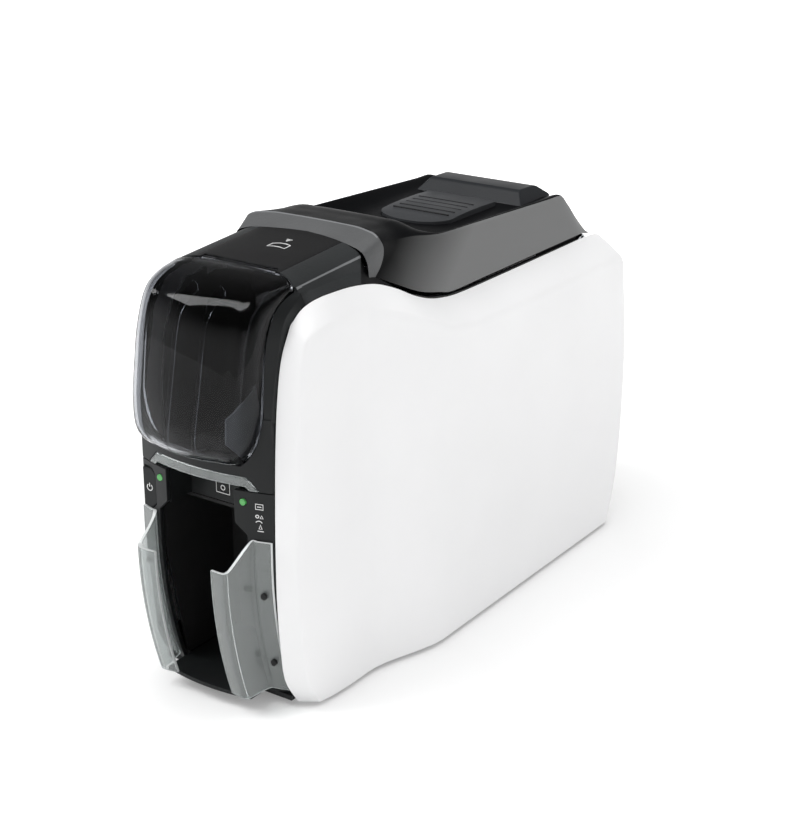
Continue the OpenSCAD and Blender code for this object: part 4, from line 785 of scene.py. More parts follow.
# %% The clear visor over the card exit
visor_foot = bezel_seam_z + seam
reach = visor_half + visor_top_z - visor_foot
inner_top = visor_top_z - visor_band
visor_shape = mirrored([(visor_half + inner_top - visor_foot, visor_foot), (reach, visor_foot),
                        (visor_half, visor_top_z)])
visor_shape = [(visor_half, inner_top)] + visor_shape + [(-visor_half, inner_top)]
visor_ahead, visor_behind = 0.6, 1.8
visor = plate("exit_visor_skin", visor_shape, [], on_front(visor_ahead), on_front(-visor_behind),
              clear_grey, 3.0, 0.5, 2.0)
finish_piece(visor, "housing", ["exit_slot_visor"])
print("bezel pieces done")

# %% [markdown]
# ## Output wings
# Two clear wings hold the stack of printed cards and leave a gap for the fingers. Each is one
# wall that runs across the front, turns back, and spreads into a flange on the bezel.

# %% The wings
wing_wall, wing_seat, wing_foot, finger_half = 2, 0.3, 12, 21
wing_plan = [(finger_half, -196.4), (26, -197.5), (31, -198), (33.6, -196.9), (34.6, -194.4),
             (35.2, -188), (36.2, -181.5)]
wing_back = [(finger_half, -196.4 + wing_wall), (26, -197.5 + wing_wall),
             (31 - wing_wall * 0.3, -198 + wing_wall), (33.4 - wing_wall, -196.4 + wing_wall * 0.9),
             (34.4 - wing_wall, -194), (35.1 - wing_wall, -188), (36.1 - wing_wall, -181.4)]
wing_tops = [98, 98.5, 99, 99.6, 100.8, 105, 110] + [113.4] * 5
flange_xs = (37.4, 39.5, 42.2, 45, 48.2)
wing_plan += [(x, bow(x) - wing_wall - wing_seat) for x in flange_xs]
flange_ins = [x - (wing_wall * 0.8 if x < 38 else 0) for x in flange_xs]
wing_back += [(x, bow(x) - wing_seat) for x in flange_ins]


def wing_point(line):
    def point(t, k):
        z = mix(wing_foot, float(curve(wing_tops, t)), k)
        x, y = curve(line, t)
        return np.array((x, y + lean(z), z))
    return point


wing_columns, wing_rows = 66, 16
points, faces = solid_between(wing_point(wing_plan), wing_point(wing_back),
                              spread_steps(0, 1, wing_columns), spread_steps(0, 1, wing_rows))
for s, side_name in sides:
    wing = mesh_object("output_wing_skin_" + side_name, on_side(points, s), faces,
                       [clear_grey, rim_frost_and_highlight], 45, 0.4, 50)
    # The two broad faces come first in the list, and the rim that joins them last. The rim takes a
    # pale opaque finish: the frosted cut edge, with a painted highlight for its bright glow.
    for face in wing.data.polygons[2 * wing_columns * wing_rows:]:
        face.material_index = 1
    finish_piece(wing, "housing", ["output_wing_" + side_name])
print("wing points:", len(points))

# %% [markdown]
# ## Black housing behind the cover
# The housing is a low hood: glossy across its middle, grained beyond, with a soft ridge at
# each side. Its front follows the cover's rear edge and its rear follows the lid's front
# edge, so the grid runs between those two lines. A sunk strip fills the gap beside the lid's
# front corner, and two lugs hold the cover's rod.

# %% The housing's rule
housing_rise, housing_mid, housing_top, housing_ridge = 0.068, -125, 261.8, 256.3
housing_flat, housing_ridge_half, housing_wall, cover_gap = 30, 45, 2.5, 0.9
foot_in, foot_up, ridge_u = 0.8, 0.3, 0.75
housing_front = hinge_y + barrel_r + 0.3
arm_end = arm_rim[-1][0]
lid_front = [(0, -73.6), (10, -74.8), (20, -76.9), (32, -80), (38.5, -81.4), (43, -81.3),
             (45, -81.3)]
side_end = [(48, -85.7), (50, -88.5), (52, -91.2), (54, -94), (56, -96.5)]
lid_corner = [(45, -81), (51.4, -73.6), (57.4, -60.4), (58.8, -50)]
recess_depth, recess_wall = 2.2, 1.6


def housing_section(y):
    rise = housing_rise * (y - housing_mid)
    t, r = housing_top + rise, housing_ridge + rise
    fx, fz, h = top_edge_x(y) - foot_in, crest_z(y) + foot_up, housing_ridge_half
    return [(0, t + 0.2), (housing_flat * 0.6, t + 0.15), (housing_flat, t),
            (mix(housing_flat, h, 0.4), t - 0.7), (mix(housing_flat, h, 0.68), t - 2),
            (mix(housing_flat, h, 0.88), t - 3.8), (h, r), (mix(h, fx, 0.28), mix(r, fz, 0.55)),
            (fx, fz)]


def across_housing(y, u):
    """The section's point at u: a curve to the ridge, then a straight side below it."""
    section = housing_section(y)
    if u < ridge_u:
        return curve(section[:7], u / ridge_u)
    return np.array([lookup(u, [(ridge_u, section[6][k]), (0.8, section[7][k]), (1, section[8][k])])
                     for k in (0, 1)])


# %% The lines in front of the housing and behind it
def front_of_housing(x):
    if x < barrel_half + seam:
        return housing_front
    if x < cover_half + seam / 4:
        return float(cover_point(1, min(x, cover_half))[1]) + cover_gap
    return arm_end + seam


lid_front_curve = [tuple(curve(lid_front, t)) for t in spread_steps(0, 1, 40)]


def rear_of_housing(x):
    return lookup(x, [(p[0], p[1] - seam) for p in lid_front_curve] + side_end)


# %% Points on the housing, under it and in the sunk strip
def housing_point(u, v, front=front_of_housing, rear=rear_of_housing):
    """u runs across the section, v from the front edge to the rear edge."""
    x, y = 0.0, housing_mid
    for _ in range(8):
        y = mix(front(x), rear(x), v)
        x, z = across_housing(y, u)
    return np.array((x, y, z))


def below_housing(p, u, depth):
    """The place at a depth under the point p of the section."""
    t = across_housing(p[1], min(1, u + 0.01)) - across_housing(p[1], max(0, u - 0.01))
    n = depth * np.array((t[1], -t[0])) / np.linalg.norm(t)
    return p + ((0, 0, -depth) if u == 0 else (n[0], 0, n[1]))


def housing_under(u, v):
    return below_housing(housing_point(u, v), u, housing_wall)


def recess_point(depth):
    """The sunk strip beside the lid's front corner, behind the end of the housing's side."""
    ahead, behind = lambda x: rear_of_housing(x) - 4, lambda x: lookup(x, lid_corner)
    return lambda u, v: below_housing(housing_point(u, v, ahead, behind), u, depth)


def u_at(x, y):
    """The place across the section at which it reaches x."""
    low, high = 0.0, 1.0
    for _ in range(30):
        half = (low + high) / 2
        low, high = (half, high) if across_housing(y, half)[0] < x else (low, half)
    return low


# %% Make the housing
step_x, step, deck_y, ridge_y = barrel_half + seam, 0.02, -120, -100
us = [u_at(x, deck_y) for x in spread_steps(0, step_x - step, 22)
      + spread_steps(step_x + step, cover_half, 20) + [cover_half + 0.08, cover_half + 0.14]]
ridge_strip = 0.35
ridge_us = [u_at(housing_ridge_half - ridge_strip, ridge_y), ridge_u,
            u_at(housing_ridge_half + ridge_strip, ridge_y)]
us += spread_steps(us[-1] + 0.01, 0.735, 8) + ridge_us + spread_steps(ridge_us[-1] + 0.004, 1, 16)
vs = [0, 0.006, 0.02] + spread_steps(0.05, 0.96, 36) + [0.985, 1]


def both_halves(rows):
    """Rows of the right half, with their mirror image before them."""
    return [on_side(row, -1) for row in rows[:0:-1]] + rows


points, faces = shell_parts(both_halves(grid(housing_point, us, vs)),
                            both_halves(grid(housing_under, us, vs)))
housing = mesh_object("front_housing_skin", points, faces,
                      [deck_gloss, grained_grey, painted_highlight_grey], 32, 0.4, 50)

# %% The housing's finishes, sunk strips and lugs
gloss_half = 30.5
for face in housing.data.polygons:
    x = abs(face.center.x) / MM
    if x > gloss_half:
        # A narrow strip along each ridge takes the light grey: a painted highlight.
        on_ridge_highlight = abs(x - housing_ridge_half) < ridge_strip and face.normal.z > 0.3
        face.material_index = 2 if on_ridge_highlight else 1
points, faces = solid_between(recess_point(recess_depth), recess_point(recess_depth + recess_wall),
                              spread_steps(0.74, 1, 12), spread_steps(0, 1, 12))
recesses = [mesh_object("recess", on_side(points, s), faces, inner_black, 32) for s, _ in sides]
lug_in, lug_out = step_x + 0.2, step_x + 4.2
lugs = [tube("lug", 0, (s * lug_in, s * lug_out), (hinge_y, hinge_z), barrel_r, bore_r,
             grained_grey) for s, _ in sides]
finish_piece(join("front_housing_body", [housing] + lugs + recesses), "housing",
             ["front_top_housing"])
print("housing points:", len(points))

# %% [markdown]
# ## Top lid
# The lid is a hump in front, a shallow dish that holds the release button, and a slope that
# falls to the rear. Fourteen cross-sections set it out and smooth curves run between them. Its
# front face is straight up to a crease, so the first two sections aren't part of the curve.

# %% The lid's rule
lid_edge_z, lid_gap, lid_rear, lid_ridge_in, lid_wall = 222, 0.8, 186.8, 8, 2.5
dish_half, dish_z, ridge_start_z, ridge_fall = 41, 248.8, 257.3, 0.0465


def lid_ridge_z(y):
    return ridge_start_z - ridge_fall * y


def lid_side(d):
    return deck_gap - d


def lid_cross(y):
    z = lid_ridge_z(y)
    return [(0, y, dish_z), (dish_half * 0.6, y, dish_z), (dish_half, y, dish_z + 0.2),
            (lid_side(lid_ridge_in), y, z), (lid_side(3.8), y, mix(z, lid_edge_z, 0.5)),
            (lid_side(lid_gap), y, lid_edge_z)]


lid_rows = [
    [(0, -73.6, 265.2), (10, -74.8, 265.2), (20, -76.9, 265.1), (29, -79.2, 264.8),
     (36.5, -81, 264.1), (42, -81, 262.6), (46, -81.6, 261), (48, -81.4, 258.3),
     (49.2, -80.9, 254.6), (49.7, -80.7, 250.5), (49.9, -80.5, 246.8)],
    [(0, -63.8, 271), (12, -64, 271), (23, -64, 270.9), (31, -64.6, 270.8), (38.5, -66, 270.2),
     (44.6, -67.4, 269.4), (49.4, -68.6, 266.6), (50.6, -66.9, 262), (50.4, -66.7, 256.3),
     (50.2, -69.5, 250.4), (50, -74.3, 245.6)],
    [(0, -48, 270), (22, -48, 269.8), (37, -47.5, 268.6), (lid_side(12), -51, 263),
     (lid_side(6.6), -55, 250), (lid_side(4.4), -60, 238.4)],
    [(0, -31, 268.2), (22, -31, 268), (37, -30.5, 267), (lid_side(11), -35, 261.4),
     (lid_side(5.5), -38, 246), (lid_side(2), -41, 230)],
    [(0, -18, 259.6), (22, -18, 259.4), (37, -18, 259), (lid_side(9.4), -19, 258.8),
     (lid_side(4.6), -20, 242), (lid_side(1.2), -21, 224.8)],
    lid_cross(-6), lid_cross(30), lid_cross(75), lid_cross(118), lid_cross(136),
    [(0, 148, 244.6), (22, 148, 244.6), (36, 148, 244.6), (lid_side(11), 148, 244.4),
     (lid_side(4.6), 148, 234), (lid_side(lid_gap), 148, lid_edge_z)],
    [(0, 162, 232.8), (22, 162, 232.8), (36, 162, 232.8), (lid_side(12.5), 161.6, 232.4),
     (lid_side(6.4), 160, 226.8), (lid_side(2.4), 158, 221)],
    [(0, 176, 221.8), (22, 176, 221.8), (36, 176, 221.8), (lid_side(14), 175, 221.6),
     (lid_side(9), 172.6, 219.8), (lid_side(5.6), 169.6, 218)],
    [(0, lid_rear, 213.8), (22, lid_rear, 213.8), (36, lid_rear, 213.8),
     (lid_side(16), lid_rear - 0.6, 213.9), (lid_side(12.6), lid_rear - 2.2, 214.4),
     (lid_side(9.6), lid_rear - 4.6, 215.2)]]
lid_last = len(lid_rows) - 1
lid_crease = 1 / lid_last


# %% Points on the lid and under it
def lid_point(s, t):
    """Straight from the front edge to the crease, and one smooth skin behind it."""
    rows = [curve(row, t) for row in lid_rows]
    if s < lid_crease:
        return mix(rows[0], rows[1], s / lid_crease)
    return curve(rows[1:], (s - lid_crease) / (1 - lid_crease))


def lid_inner(s, t):
    p = lid_point(s, t)
    row, to_end = s * lid_last, s * lid_last - lid_last
    side, top = ease((t - 0.4) / 0.4), 1 - ease((t - 0.6) / 0.4)
    front, back = 1 - clamp01(row / 1.5), clamp01((to_end + 3) / 3)
    return p + lid_wall * np.array((-side, 1.2 * front - back * 0.9,
                                    -top * (1 - 0.7 * back * clamp01(to_end + 1))))


# %% The release button's plan, and a helper that cuts one mesh with another
latch_half, latch_front, latch_rear, latch_corner = 26.7, 28.7, 95.3, 16.5


def latch_edge_y(u):
    """Where the button's rounded front lies at u, from -1 at its left to 1 at its right."""
    q = 2.2
    return latch_front + latch_corner * (1 - max(0.0, 1 - abs(u) ** q) ** (1 / q))


def latch_plan(grow):
    us = [math.sin(math.radians(a)) for a in spread_steps(-90, 90, 60)]
    front = [(u * (latch_half + grow), latch_edge_y(u) - grow) for u in us]
    return front + [(latch_half + grow, latch_rear + grow), (-latch_half - grow, latch_rear + grow)]


def prism_z(name, outline, z0, z1, materials):
    points = [(x, y, z) for z in (z0, z1) for x, y in outline]
    return mesh_object(name, points, prism_faces(len(outline)), materials, 38)


def cut(obj, cutter):
    change = obj.modifiers.new("cut", "BOOLEAN")
    change.operation = "DIFFERENCE"
    change.solver = "EXACT"
    change.object = cutter
    mesh = applied_mesh(obj)
    obj.modifiers.remove(change)
    obj.data = mesh
    bpy.data.objects.remove(cutter)
    return obj


# %% Make the lid
ts = spread_steps(0, 0.36, 12) + spread_steps(0.375, 0.72, 26) + spread_steps(0.745, 1, 12)
crease_step = 0.006
ss = spread_steps(0, lid_crease - crease_step, 5) + [lid_crease, lid_crease + crease_step]
ss += spread_steps(lid_crease + 0.014, 0.42, 36) + spread_steps(0.44, 0.66, 10)
ss += spread_steps(0.67, 1, 36)


def across_both(rows):
    """Each row of the right half, with its mirror image before it."""
    return [on_side(row[:0:-1], -1) + row for row in rows]


points, faces = shell_parts(across_both(grid(lid_point, ss, ts)),
                            across_both(grid(lid_inner, ss, ts)))
lid_sharp_deg = 30
lid = mesh_object("lid_skin", points, faces, [lid_side_painted_shade, lid_black, lid_front_grey, painted_highlight_grey],
                  lid_sharp_deg)

# %% The lid's finishes
# The top is black inside the ridges and grey beyond, with painted shade on that grey; the front
# face has its own grey, with a painted highlight strip along the crease. The faces follow the grid,
# so its rows and columns tell them.
side_index, top_index, front_index, highlight_index = 0, 1, 2, 3
top_t, highlight_t, top_rear = 0.594, 0.55, 145
columns = 2 * len(ts) - 2
for k, face in enumerate(lid.data.polygons[:2 * (len(ss) - 1) * columns]):
    row, column = divmod(k // 2, columns)
    t = ts[int(abs(column + 0.5 - columns / 2))]
    if ss[row] < lid_crease - 0.001:
        in_highlight = ss[row] > lid_crease - 0.01 and t < highlight_t
        face.material_index = highlight_index if in_highlight else front_index
    elif t < top_t and face.center.y < top_rear * MM:
        face.material_index = top_index
top_faces = [face for face in lid.data.polygons if face.material_index == top_index]
print("faces in the lid's black top:", len(top_faces))

# %% Cut the button's pocket out of the lid
pocket_foot_z, pocket_top_z = 240, 270
lid = cut(lid, prism_z("pocket", latch_plan(seam), pocket_foot_z, pocket_top_z, [lid_black]))
for face in lid.data.polygons:
    x, y, _ = face.center / MM
    if face.material_index == side_index and abs(x) < latch_half + 1 and y < latch_rear + 1:
        face.material_index = top_index
lid.data.shade_smooth()
lid.data.set_sharp_from_angle(angle=math.radians(lid_sharp_deg))

# %% The cross bar behind the button
bar_half, bar_foot_half, bar_top, bar_foot = 35, 42, 257.1, dish_z - 0.4
bar_side = [(103.4, bar_foot), (111.4, 256.2), (113.4, bar_top), (130, 256.8), (134, 256),
            (142, 250), (142, bar_foot)]
# The bar narrows from its foot to its top.
bar_points = [(s * mix(bar_foot_half, bar_half, clamp01((z - bar_foot) / (bar_top - dish_z))), y, z)
              for s in (-1, 1) for y, z in bar_side]
bar = mesh_object("bar", bar_points, prism_faces(len(bar_side)), bar_grey, 38, 1.0, 18)
finish_piece(join("top_lid_skin", [lid, bar]), "lid", ["top_lid"])
print("lid points:", len(points))

# %% [markdown]
# ## Flanges and card guard
# A thin upright flange stands under each long edge of the lid and keeps dust and light out of
# the works. The guard beside the card stack shows through the cover. Both are flat sheets, so
# an outline carried a short way along X makes each.

# %% The flanges and the guard
flange_x, flange_wall, flange_front, flange_rear = 56, 1.2, 100, 152
flange_foot, flange_top = 205, 220.5
flange_line = [(flange_front, flange_foot), (flange_rear, flange_foot), (flange_rear, flange_top),
               (flange_front, flange_top)]
for s, side_name in sides:
    flange = prism_x("lid_flange_" + side_name, flange_line, s * flange_x,
                     s * (flange_x + flange_wall), inner_black)
    finish_piece(flange, "housing")
guard_x, guard_wall = 29, 1.4
guard_line = [(-160.7, 200.4), (-179.4, 191.4), (-187.6, 188.6), (-188.6, 174.3), (-172.4, 159.1),
              (-159, 178.9)]
guard = prism_x("card_guard", guard_line, guard_x, guard_x + guard_wall, guard_grey)
finish_piece(guard, "housing")
print("flange and guard points:", len(flange_line), len(guard_line))

# %% [markdown]
# ## Release button
# The button is a shield-shaped pad that rises to the rear, with grip ribs across it. The ribs
# repeat, so Geometry Nodes set them out: points on a line, one bar on each, made real and given a
# dark finish, which is painted shade for the grooves between them.

# %% The button's pad
latch_top = [(latch_front - 1, 249.9), (38, 251.2), (50, 252.1), (62, 252.6), (80, 252.6),
             (latch_rear + 1, 252.1)]
latch_foot_z, pad_side_fall = dish_z - 2, 0.5


def pad_point(u, v):
    y = mix(latch_edge_y(u), latch_rear, v)
    return np.array((u * latch_half, y, lookup(y, latch_top) - pad_side_fall * abs(u) ** 6))


def pad_foot(u, v):
    return pad_point(u, v) * (1, 1, 0) + (0, 0, latch_foot_z)


pad_us = [math.sin(math.radians(a)) for a in spread_steps(-90, 90, 56)]
points, faces = solid_between(pad_point, pad_foot, pad_us, spread_steps(0, 1, 30))
pad = mesh_object("release_button_pad", points, faces, button_grey, 40, 0.7, 50)
finish_piece(pad, "latch_button", ["lid_latch_button"])
print("pad points:", len(points))


# %% A Geometry Nodes row of bars
def bar_row(name, count, start, step, size, material):
    """count bars of one size, set a step apart, as a plain mesh in millimetres."""
    tree = bpy.data.node_groups.new(name, "GeometryNodeTree")
    tree.interface.new_socket("Geometry", in_out="OUTPUT", socket_type="NodeSocketGeometry")
    kinds = {"Count": "NodeSocketInt", "Start": "NodeSocketVector", "Step": "NodeSocketVector",
             "Size": "NodeSocketVector"}
    sockets = {label: tree.interface.new_socket(label, in_out="INPUT", socket_type=kind).identifier
               for label, kind in kinds.items()}
    given = tree.nodes.new("NodeGroupInput").outputs
    line = add_node(tree, "GeometryNodeMeshLine", {"Count": given["Count"], "Offset": given["Step"],
                                                   "Start Location": given["Start"]})
    cube = add_node(tree, "GeometryNodeMeshCube", {"Size": given["Size"]})
    spread = add_node(tree, "GeometryNodeInstanceOnPoints", {"Points": line.outputs[0],
                                                             "Instance": cube.outputs[0]})
    real = add_node(tree, "GeometryNodeRealizeInstances", {0: spread.outputs[0]})
    finish = add_node(tree, "GeometryNodeSetMaterial", {"Geometry": real.outputs[0],
                                                        "Material": material})
    add_node(tree, "NodeGroupOutput", {0: finish.outputs[0]})
    obj = new_object(name, bpy.data.meshes.new(name))
    rows = obj.modifiers.new("row", "NODES")
    rows.node_group = tree
    rows[sockets["Count"]] = count
    for label, value in (("Start", start), ("Step", step), ("Size", size)):
        rows[sockets[label]] = [c * MM for c in value]
    obj.update_tag()
    mesh = applied_mesh(obj)
    obj.modifiers.remove(rows)
    obj.data = mesh
    edge = obj.modifiers.new("edge", "BEVEL")
    edge.width = min(size) * MM * 0.25
    edge.segments = 2
    return obj


# %% The grip ribs
grip_count, grip_step, grip_rise, grip_first, grip_size = 5, 7.5, 0.1, 47, (43, 1.3, 1.2)
# The ribs take the near-black inner finish, darker than the pad: painted shade that stands in for
# the shadow in the grooves between them.
grips = bar_row("release_button_ribs", grip_count, (0, grip_first, lookup(grip_first, latch_top)),
                (0, grip_step, grip_rise), grip_size, inner_black)
finish_piece(grips, "latch_button")
print("grip rib points:", len(grips.data.vertices))

# %% [markdown]
# ## Power button and signs
# The power button stands just proud of the left cheek. The little signs beside the lights are
# printed, so each is a flat ribbon laid a hair above the surface.

# %% The power button
power_face = bow(power_x) - 0.8
cap_wall, stem_r, stem_start, stem_end = 5, 2.0, power_face + 4.8, power_face + 9
flat_face = lambda depth: (lambda x, z: (x, power_face + depth, z))
button = plate("power_button_cap", power_outline(0), [], flat_face(0), flat_face(cap_wall),
               bezel_grey, 3.0, 0.6)
stem = tube("stem", 1, (stem_start, stem_end), (power_x, power_z), stem_r, 0, bezel_grey, 32)
finish_piece(join("power_button_body", [button, stem]), "power_button",
             ["power_button"])
print("power button face at", round(power_face, 2))


# %% Printed signs
def ribbon(points, width, closed=False):
    """A flat outline of the given width along a line of [a, b] points."""
    p = [np.asarray(q, float) for q in points]
    n = len(p)
    left, right = [], []
    for i in range(n):
        a = p[i - 1] if i > 0 or closed else p[i]
        b = p[(i + 1) % n] if i < n - 1 or closed else p[i]
        t = (b - a) / np.linalg.norm(b - a)
        side = np.array((-t[1], t[0])) * width / 2
        left.append(p[i] + side)
        right.append(p[i] - side)
    quads = [(i, (i + 1) % n, n + (i + 1) % n, n + i) for i in range(n if closed else n - 1)]
    return left + right, quads


def sign(name, strokes, place, body, width=0.5, lift=0.04, thick=0.06):
    """strokes are lines of [a, b] points; place(a, b, height) lays them on a surface."""
    objects = []
    for line, closed in strokes:
        points, faces = closed_wall(*ribbon(line, width, closed),
                                    lambda a, b: place(a, b, lift + thick),
                                    lambda a, b: place(a, b, lift - thick))
        objects.append(mesh_object("stroke", points, faces, white_ink, 30))
    return finish_piece(join(name, objects), body)


def arc_line(x, z, r, start, end, parts=16):
    """Part of a circle, from one angle to another in degrees."""
    return [(x + r * math.cos(math.radians(a)), z + r * math.sin(math.radians(a)))
            for a in spread_steps(start, end, parts)]


on_cheek = lambda x, z, h: (x, bow(x) + lean(z) - h, z)
on_button = lambda x, z, h: (x, power_face - h, z)
sign("power_sign", [(arc_line(power_x, power_z, 2.0, 125, 415), False),
                    ([(power_x, power_z + 0.4), (power_x, power_z + 2.8)], False)],
     on_button, "power_button", 0.45)

# %% Signs on the right cheek
icon_x = 40.8
card_icon = [(icon_x - 2.2, 132.8), (icon_x + 2.2, 132.8), (icon_x + 2.2, 136), (icon_x - 2.2, 136)]
bolt_icon = [(icon_x + 2.1, 127.4), (icon_x + 0.3, 127.4), (icon_x + 1.2, 129.2)]
drop_icon = [(icon_x + 0.4, 123.4), (icon_x + 1.3, 120.8), (icon_x - 0.5, 120.8)]
sign("cheek_signs", [(card_icon, True), ([(icon_x - 1.2, 134.4), (icon_x + 1.2, 134.4)], False),
                     (arc_line(icon_x - 1.3, 128.4, 0.9, 0, 337, 15), True), (bolt_icon, True),
                     (arc_line(icon_x - 0.4, 123.6, 2.1, 30, 150, 8), False), (drop_icon, True),
                     ([(icon_x - 1.4, 119.4), (icon_x + 2.2, 119.4)], False)],
     on_cheek, "housing", 0.42)


# %% Signs on the housing and the exit plate
def on_housing(x, y, h):
    return (x, y, float(across_housing(y, u_at(abs(x), y))[1]) + h)


card_line = [(-3.8, -101.2), (0, -99), (4.2, -98.8), (8.2, -100), (8.2, -106), (4.2, -104.8),
             (0, -105), (-3.8, -106.6)]
arrow = [(-0.6, -91.4), (3, -91.4), (1.2, -95)]
sign("housing_sign", [(card_line, True), (arrow, True), ([(1.2, -91.8), (1.2, -93.6)], False)],
     on_housing, "housing", 0.6)
exit_face_y = -157
on_plate = lambda x, z, h: (x, exit_face_y - h, z)
sign("exit_sign", [([(-6, 126), (4, 126), (4, 133), (-6, 133)], True),
                   (arc_line(-1, 129.5, 1.5, 0, 330, 11), True)], on_plate, "housing", 0.5)
print("signs done")

# %% [markdown]
# ## Finishes on the CAD nodes
# Frame plates, rollers, gears and boards keep their CAD shape. One node may hold two
# materials, such as a steel shaft in a rubber sleeve, so its finish is chosen by the place
# along the shaft.

# %% A finish that changes along X
def compute(tree, operation, first, second):
    return add_node(tree, "ShaderNodeMath", {0: first, 1: second}, operation=operation).outputs[0]


def banded(name, bands, default):
    """bands are (x from, x to, colour, metallic, rough); default is the last three, elsewhere."""
    material, tree, shader, _ = new_material(name)
    x = add_node(tree, "ShaderNodeSeparateXYZ", {0: own_place(tree)}).outputs["X"]
    colour = tint(tree, add_noise(tree, 300.0), [c * 0.88 for c in default[0]], default[0])
    values = default[1:]
    for low, high, shade, *band_values in bands:
        within = compute(tree, "MULTIPLY", compute(tree, "GREATER_THAN", x, low * MM),
                         compute(tree, "LESS_THAN", x, high * MM))
        colour = add_node(tree, "ShaderNodeMix", {0: within, 6: colour, 7: (*shade, 1)},
                          data_type="RGBA").outputs[2]
        values = [add_node(tree, "ShaderNodeMix", {0: within, 2: before, 3: after}).outputs[0]
                  for before, after in zip(values, band_values)]
    feed(tree, shader, {"Base Color": colour, "Metallic": values[0], "Roughness": values[1]})
    grain_bump(tree, shader, 500.0, 0.01)
    return material


# %% Rollers, spools, boards and lights
steel_look = ((0.62, 0.63, 0.65), 1.0, 0.3)
sleeve_half, gear_band = 27.6, (35.9, 42.1, (0.72, 0.66, 0.5), 0.0, 0.4)


def sleeved(name, colour, rough):
    """A steel shaft with a sleeve on its middle and a gear near its end."""
    return banded(name, [(-sleeve_half, sleeve_half, colour, 0.0, rough), gear_band], steel_look)


black_roller = sleeved("black_roller", (0.02, 0.02, 0.021), 0.7)
blue_roller = sleeved("blue_roller", (0.05, 0.15, 0.5), 0.45)
spool = sleeved("spool", (0.7, 0.7, 0.72), 0.45)
board = moulded("board", (0.01, 0.11, 0.035), 0.32, 250, 0.02, 0.25)
green_light, tree, shader, _ = new_material("green_light")
feed(tree, shader, {
    "Base Color": tint(tree, add_noise(tree, 700.0), (0.02, 0.16, 0.03), (0.1, 0.42, 0.1)),
    "Emission Color": (0.15, 0.8, 0.25, 1), "Emission Strength": 0.06, "Roughness": 0.25})

# %% Give every node its finish
by_slot = {"white_plastic": white_shell, "grey_plastic": bezel_grey, "dark_plastic": inner_black,
           "gloss_black": gloss_black, "smoked_clear": smoked_clear, "clear_grey": clear_grey,
           "green_light": green_light, "steel": steel, "spring_steel": spring_steel,
           "black_rubber": rubber, "roller": black_roller, "blue_roller": blue_roller,
           "ivory_plastic": ivory, "brass": brass, "bronze": bronze, "motor_can": motor_zinc,
           "ceramic": ceramic, "circuit_board": board, "white_spool": spool}
by_node = {"card_exit_plate": bezel_grey, "output_tray": bezel_grey,
           "card_weight_plate": inner_black, "base_chassis": lid_black,
           "lid_inner_frame": lid_black}
for part in frame["record"]["subparts"]:
    finish = by_node.get(part["node"], by_slot[part["material_slot"]])
    for place in frame["nodes"][part["node"]].material_slots:
        place.material = finish

# %% [markdown]
# ## Floor, world and lamps
# The machine stands on a white sheet with no horizon. The sheet shows a little light of its
# own to the camera, to glossy walls and through clear ones, and none to the lit surfaces. It
# shows more farther away, so that it is white there and the soft shadow under the machine
# stays. The world does the same: white to look at, and dim as a source of light.

# %% What the camera, glossy walls and clear walls see
def shown(tree):
    """1 for what is looked at, straight or by way of a glossy or clear wall, and otherwise 0."""
    path = tree.nodes.new("ShaderNodeLightPath").outputs
    seen = compute(tree, "MAXIMUM", path["Is Camera Ray"], path["Is Glossy Ray"])
    return compute(tree, "MAXIMUM", seen, path["Is Transmission Ray"])


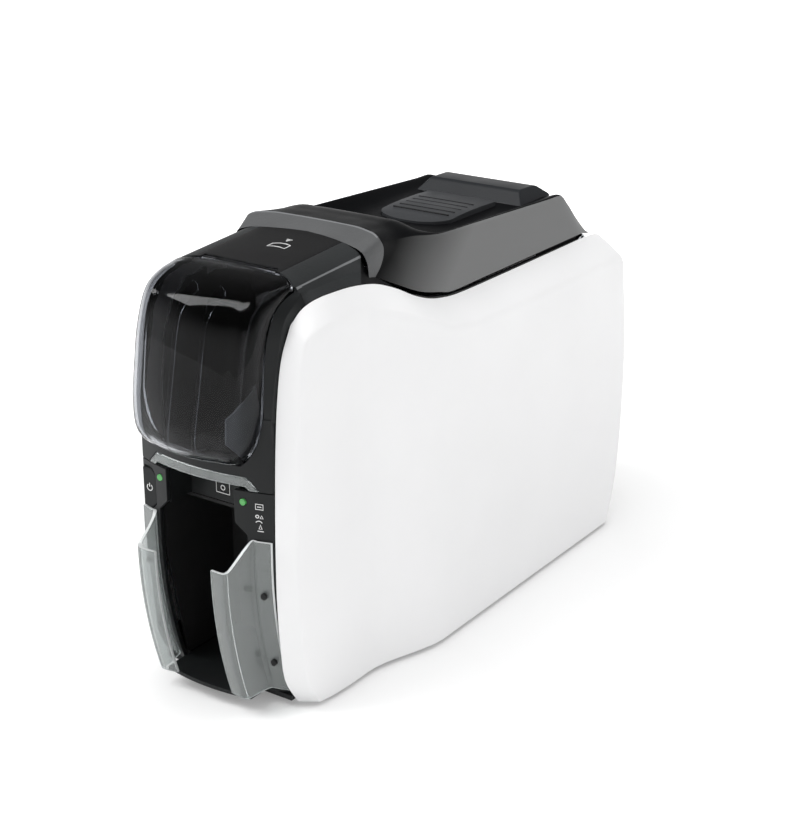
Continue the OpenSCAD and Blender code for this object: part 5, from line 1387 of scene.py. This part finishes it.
# %% Floor
floor_half = 7.0
near_reach, far_reach, near_light, far_light = 0.2, 0.75, 0.2, 0.9
floor_mesh = bpy.data.meshes.new("floor")
floor_mesh.from_pydata([(-floor_half, -floor_half, 0), (floor_half, -floor_half, 0),
                        (floor_half, floor_half, 0), (-floor_half, floor_half, 0)],
                       [], [(0, 1, 2, 3)])
floor = new_object("floor", floor_mesh)
sheet, tree, shader, _ = new_material("sheet")
reach = add_node(tree, "ShaderNodeVectorMath", {0: own_place(tree)}, operation="LENGTH")
far = ramp(tree, reach.outputs["Value"], near_reach, far_reach, near_light, far_light)
feed(tree, shader, {"Base Color": (0.8, 0.8, 0.8, 1), "Roughness": 0.9, "Specular IOR Level": 0.1,
                    "Emission Color": (1, 1, 1, 1),
                    "Emission Strength": compute(tree, "MULTIPLY", shown(tree), far)})
floor_mesh.materials.append(sheet)
print("floor", 2 * floor_half, "m wide")

# %% World
# Low down it is white to look at, and it darkens with height, which glossy tops reflect.
world_level, white_below, dark_above, dark_level = 0.48, 0.08, 0.32, 0.12
world = bpy.data.worlds.new("studio")
bpy.context.scene.world = world
world.use_nodes = True
tree = world.node_tree
tree.nodes.clear()
soft = add_node(tree, "ShaderNodeBackground", {"Color": (1, 1, 1, 1), "Strength": world_level})
place = tree.nodes.new("ShaderNodeTexCoord").outputs["Generated"]
split = add_node(tree, "ShaderNodeSeparateXYZ", {0: place})
height = ramp(tree, split.outputs["Z"], white_below, dark_above, 1.0, dark_level)
sky = add_node(tree, "ShaderNodeBackground", {"Color": height, "Strength": 1.0})
either = add_node(tree, "ShaderNodeMixShader", {0: shown(tree), 1: soft.outputs[0],
                                                2: sky.outputs[0]})
add_node(tree, "ShaderNodeOutputWorld", {"Surface": either.outputs[0]})
print("world level:", world_level)


# %% Lamps
def soft_lamp(name, place, target, width, height, watts):
    """An area lamp whose width stays level; only the left one is seen in glossy walls."""
    data = bpy.data.lights.new(name, "AREA")
    data.shape = "RECTANGLE"
    data.size, data.size_y, data.energy = width, height, watts
    lamp = new_object(name, data)
    back = (Vector(place) - Vector(target)).normalized()
    level = Vector((0, 0, 1)).cross(back).normalized()
    turn = Matrix((level, back.cross(level), back)).transposed().to_4x4()
    lamp.matrix_world = Matrix.Translation(place) @ turn
    lamp.visible_glossy = name == "left"


soft_lamp("right", (1.75, 0.2, 0.55), (0.05, 0, 0.12), 1.2, 1.2, 7.0)
soft_lamp("left", (-0.8, -0.85, 1.35), (-0.05, -0.55, 0.2), 0.65, 1.3, 20)
soft_lamp("front", (0.4, -1.9, 0.4), (0, 0, 0.15), 1.0, 0.8, 6)
soft_lamp("top", (0.2, 0.3, 1.7), (0, 0, 0.1), 1.2, 1.2, 12)
bpy.context.scene.view_settings.view_transform = "Standard"
print("lamps:", len(bpy.data.lights))
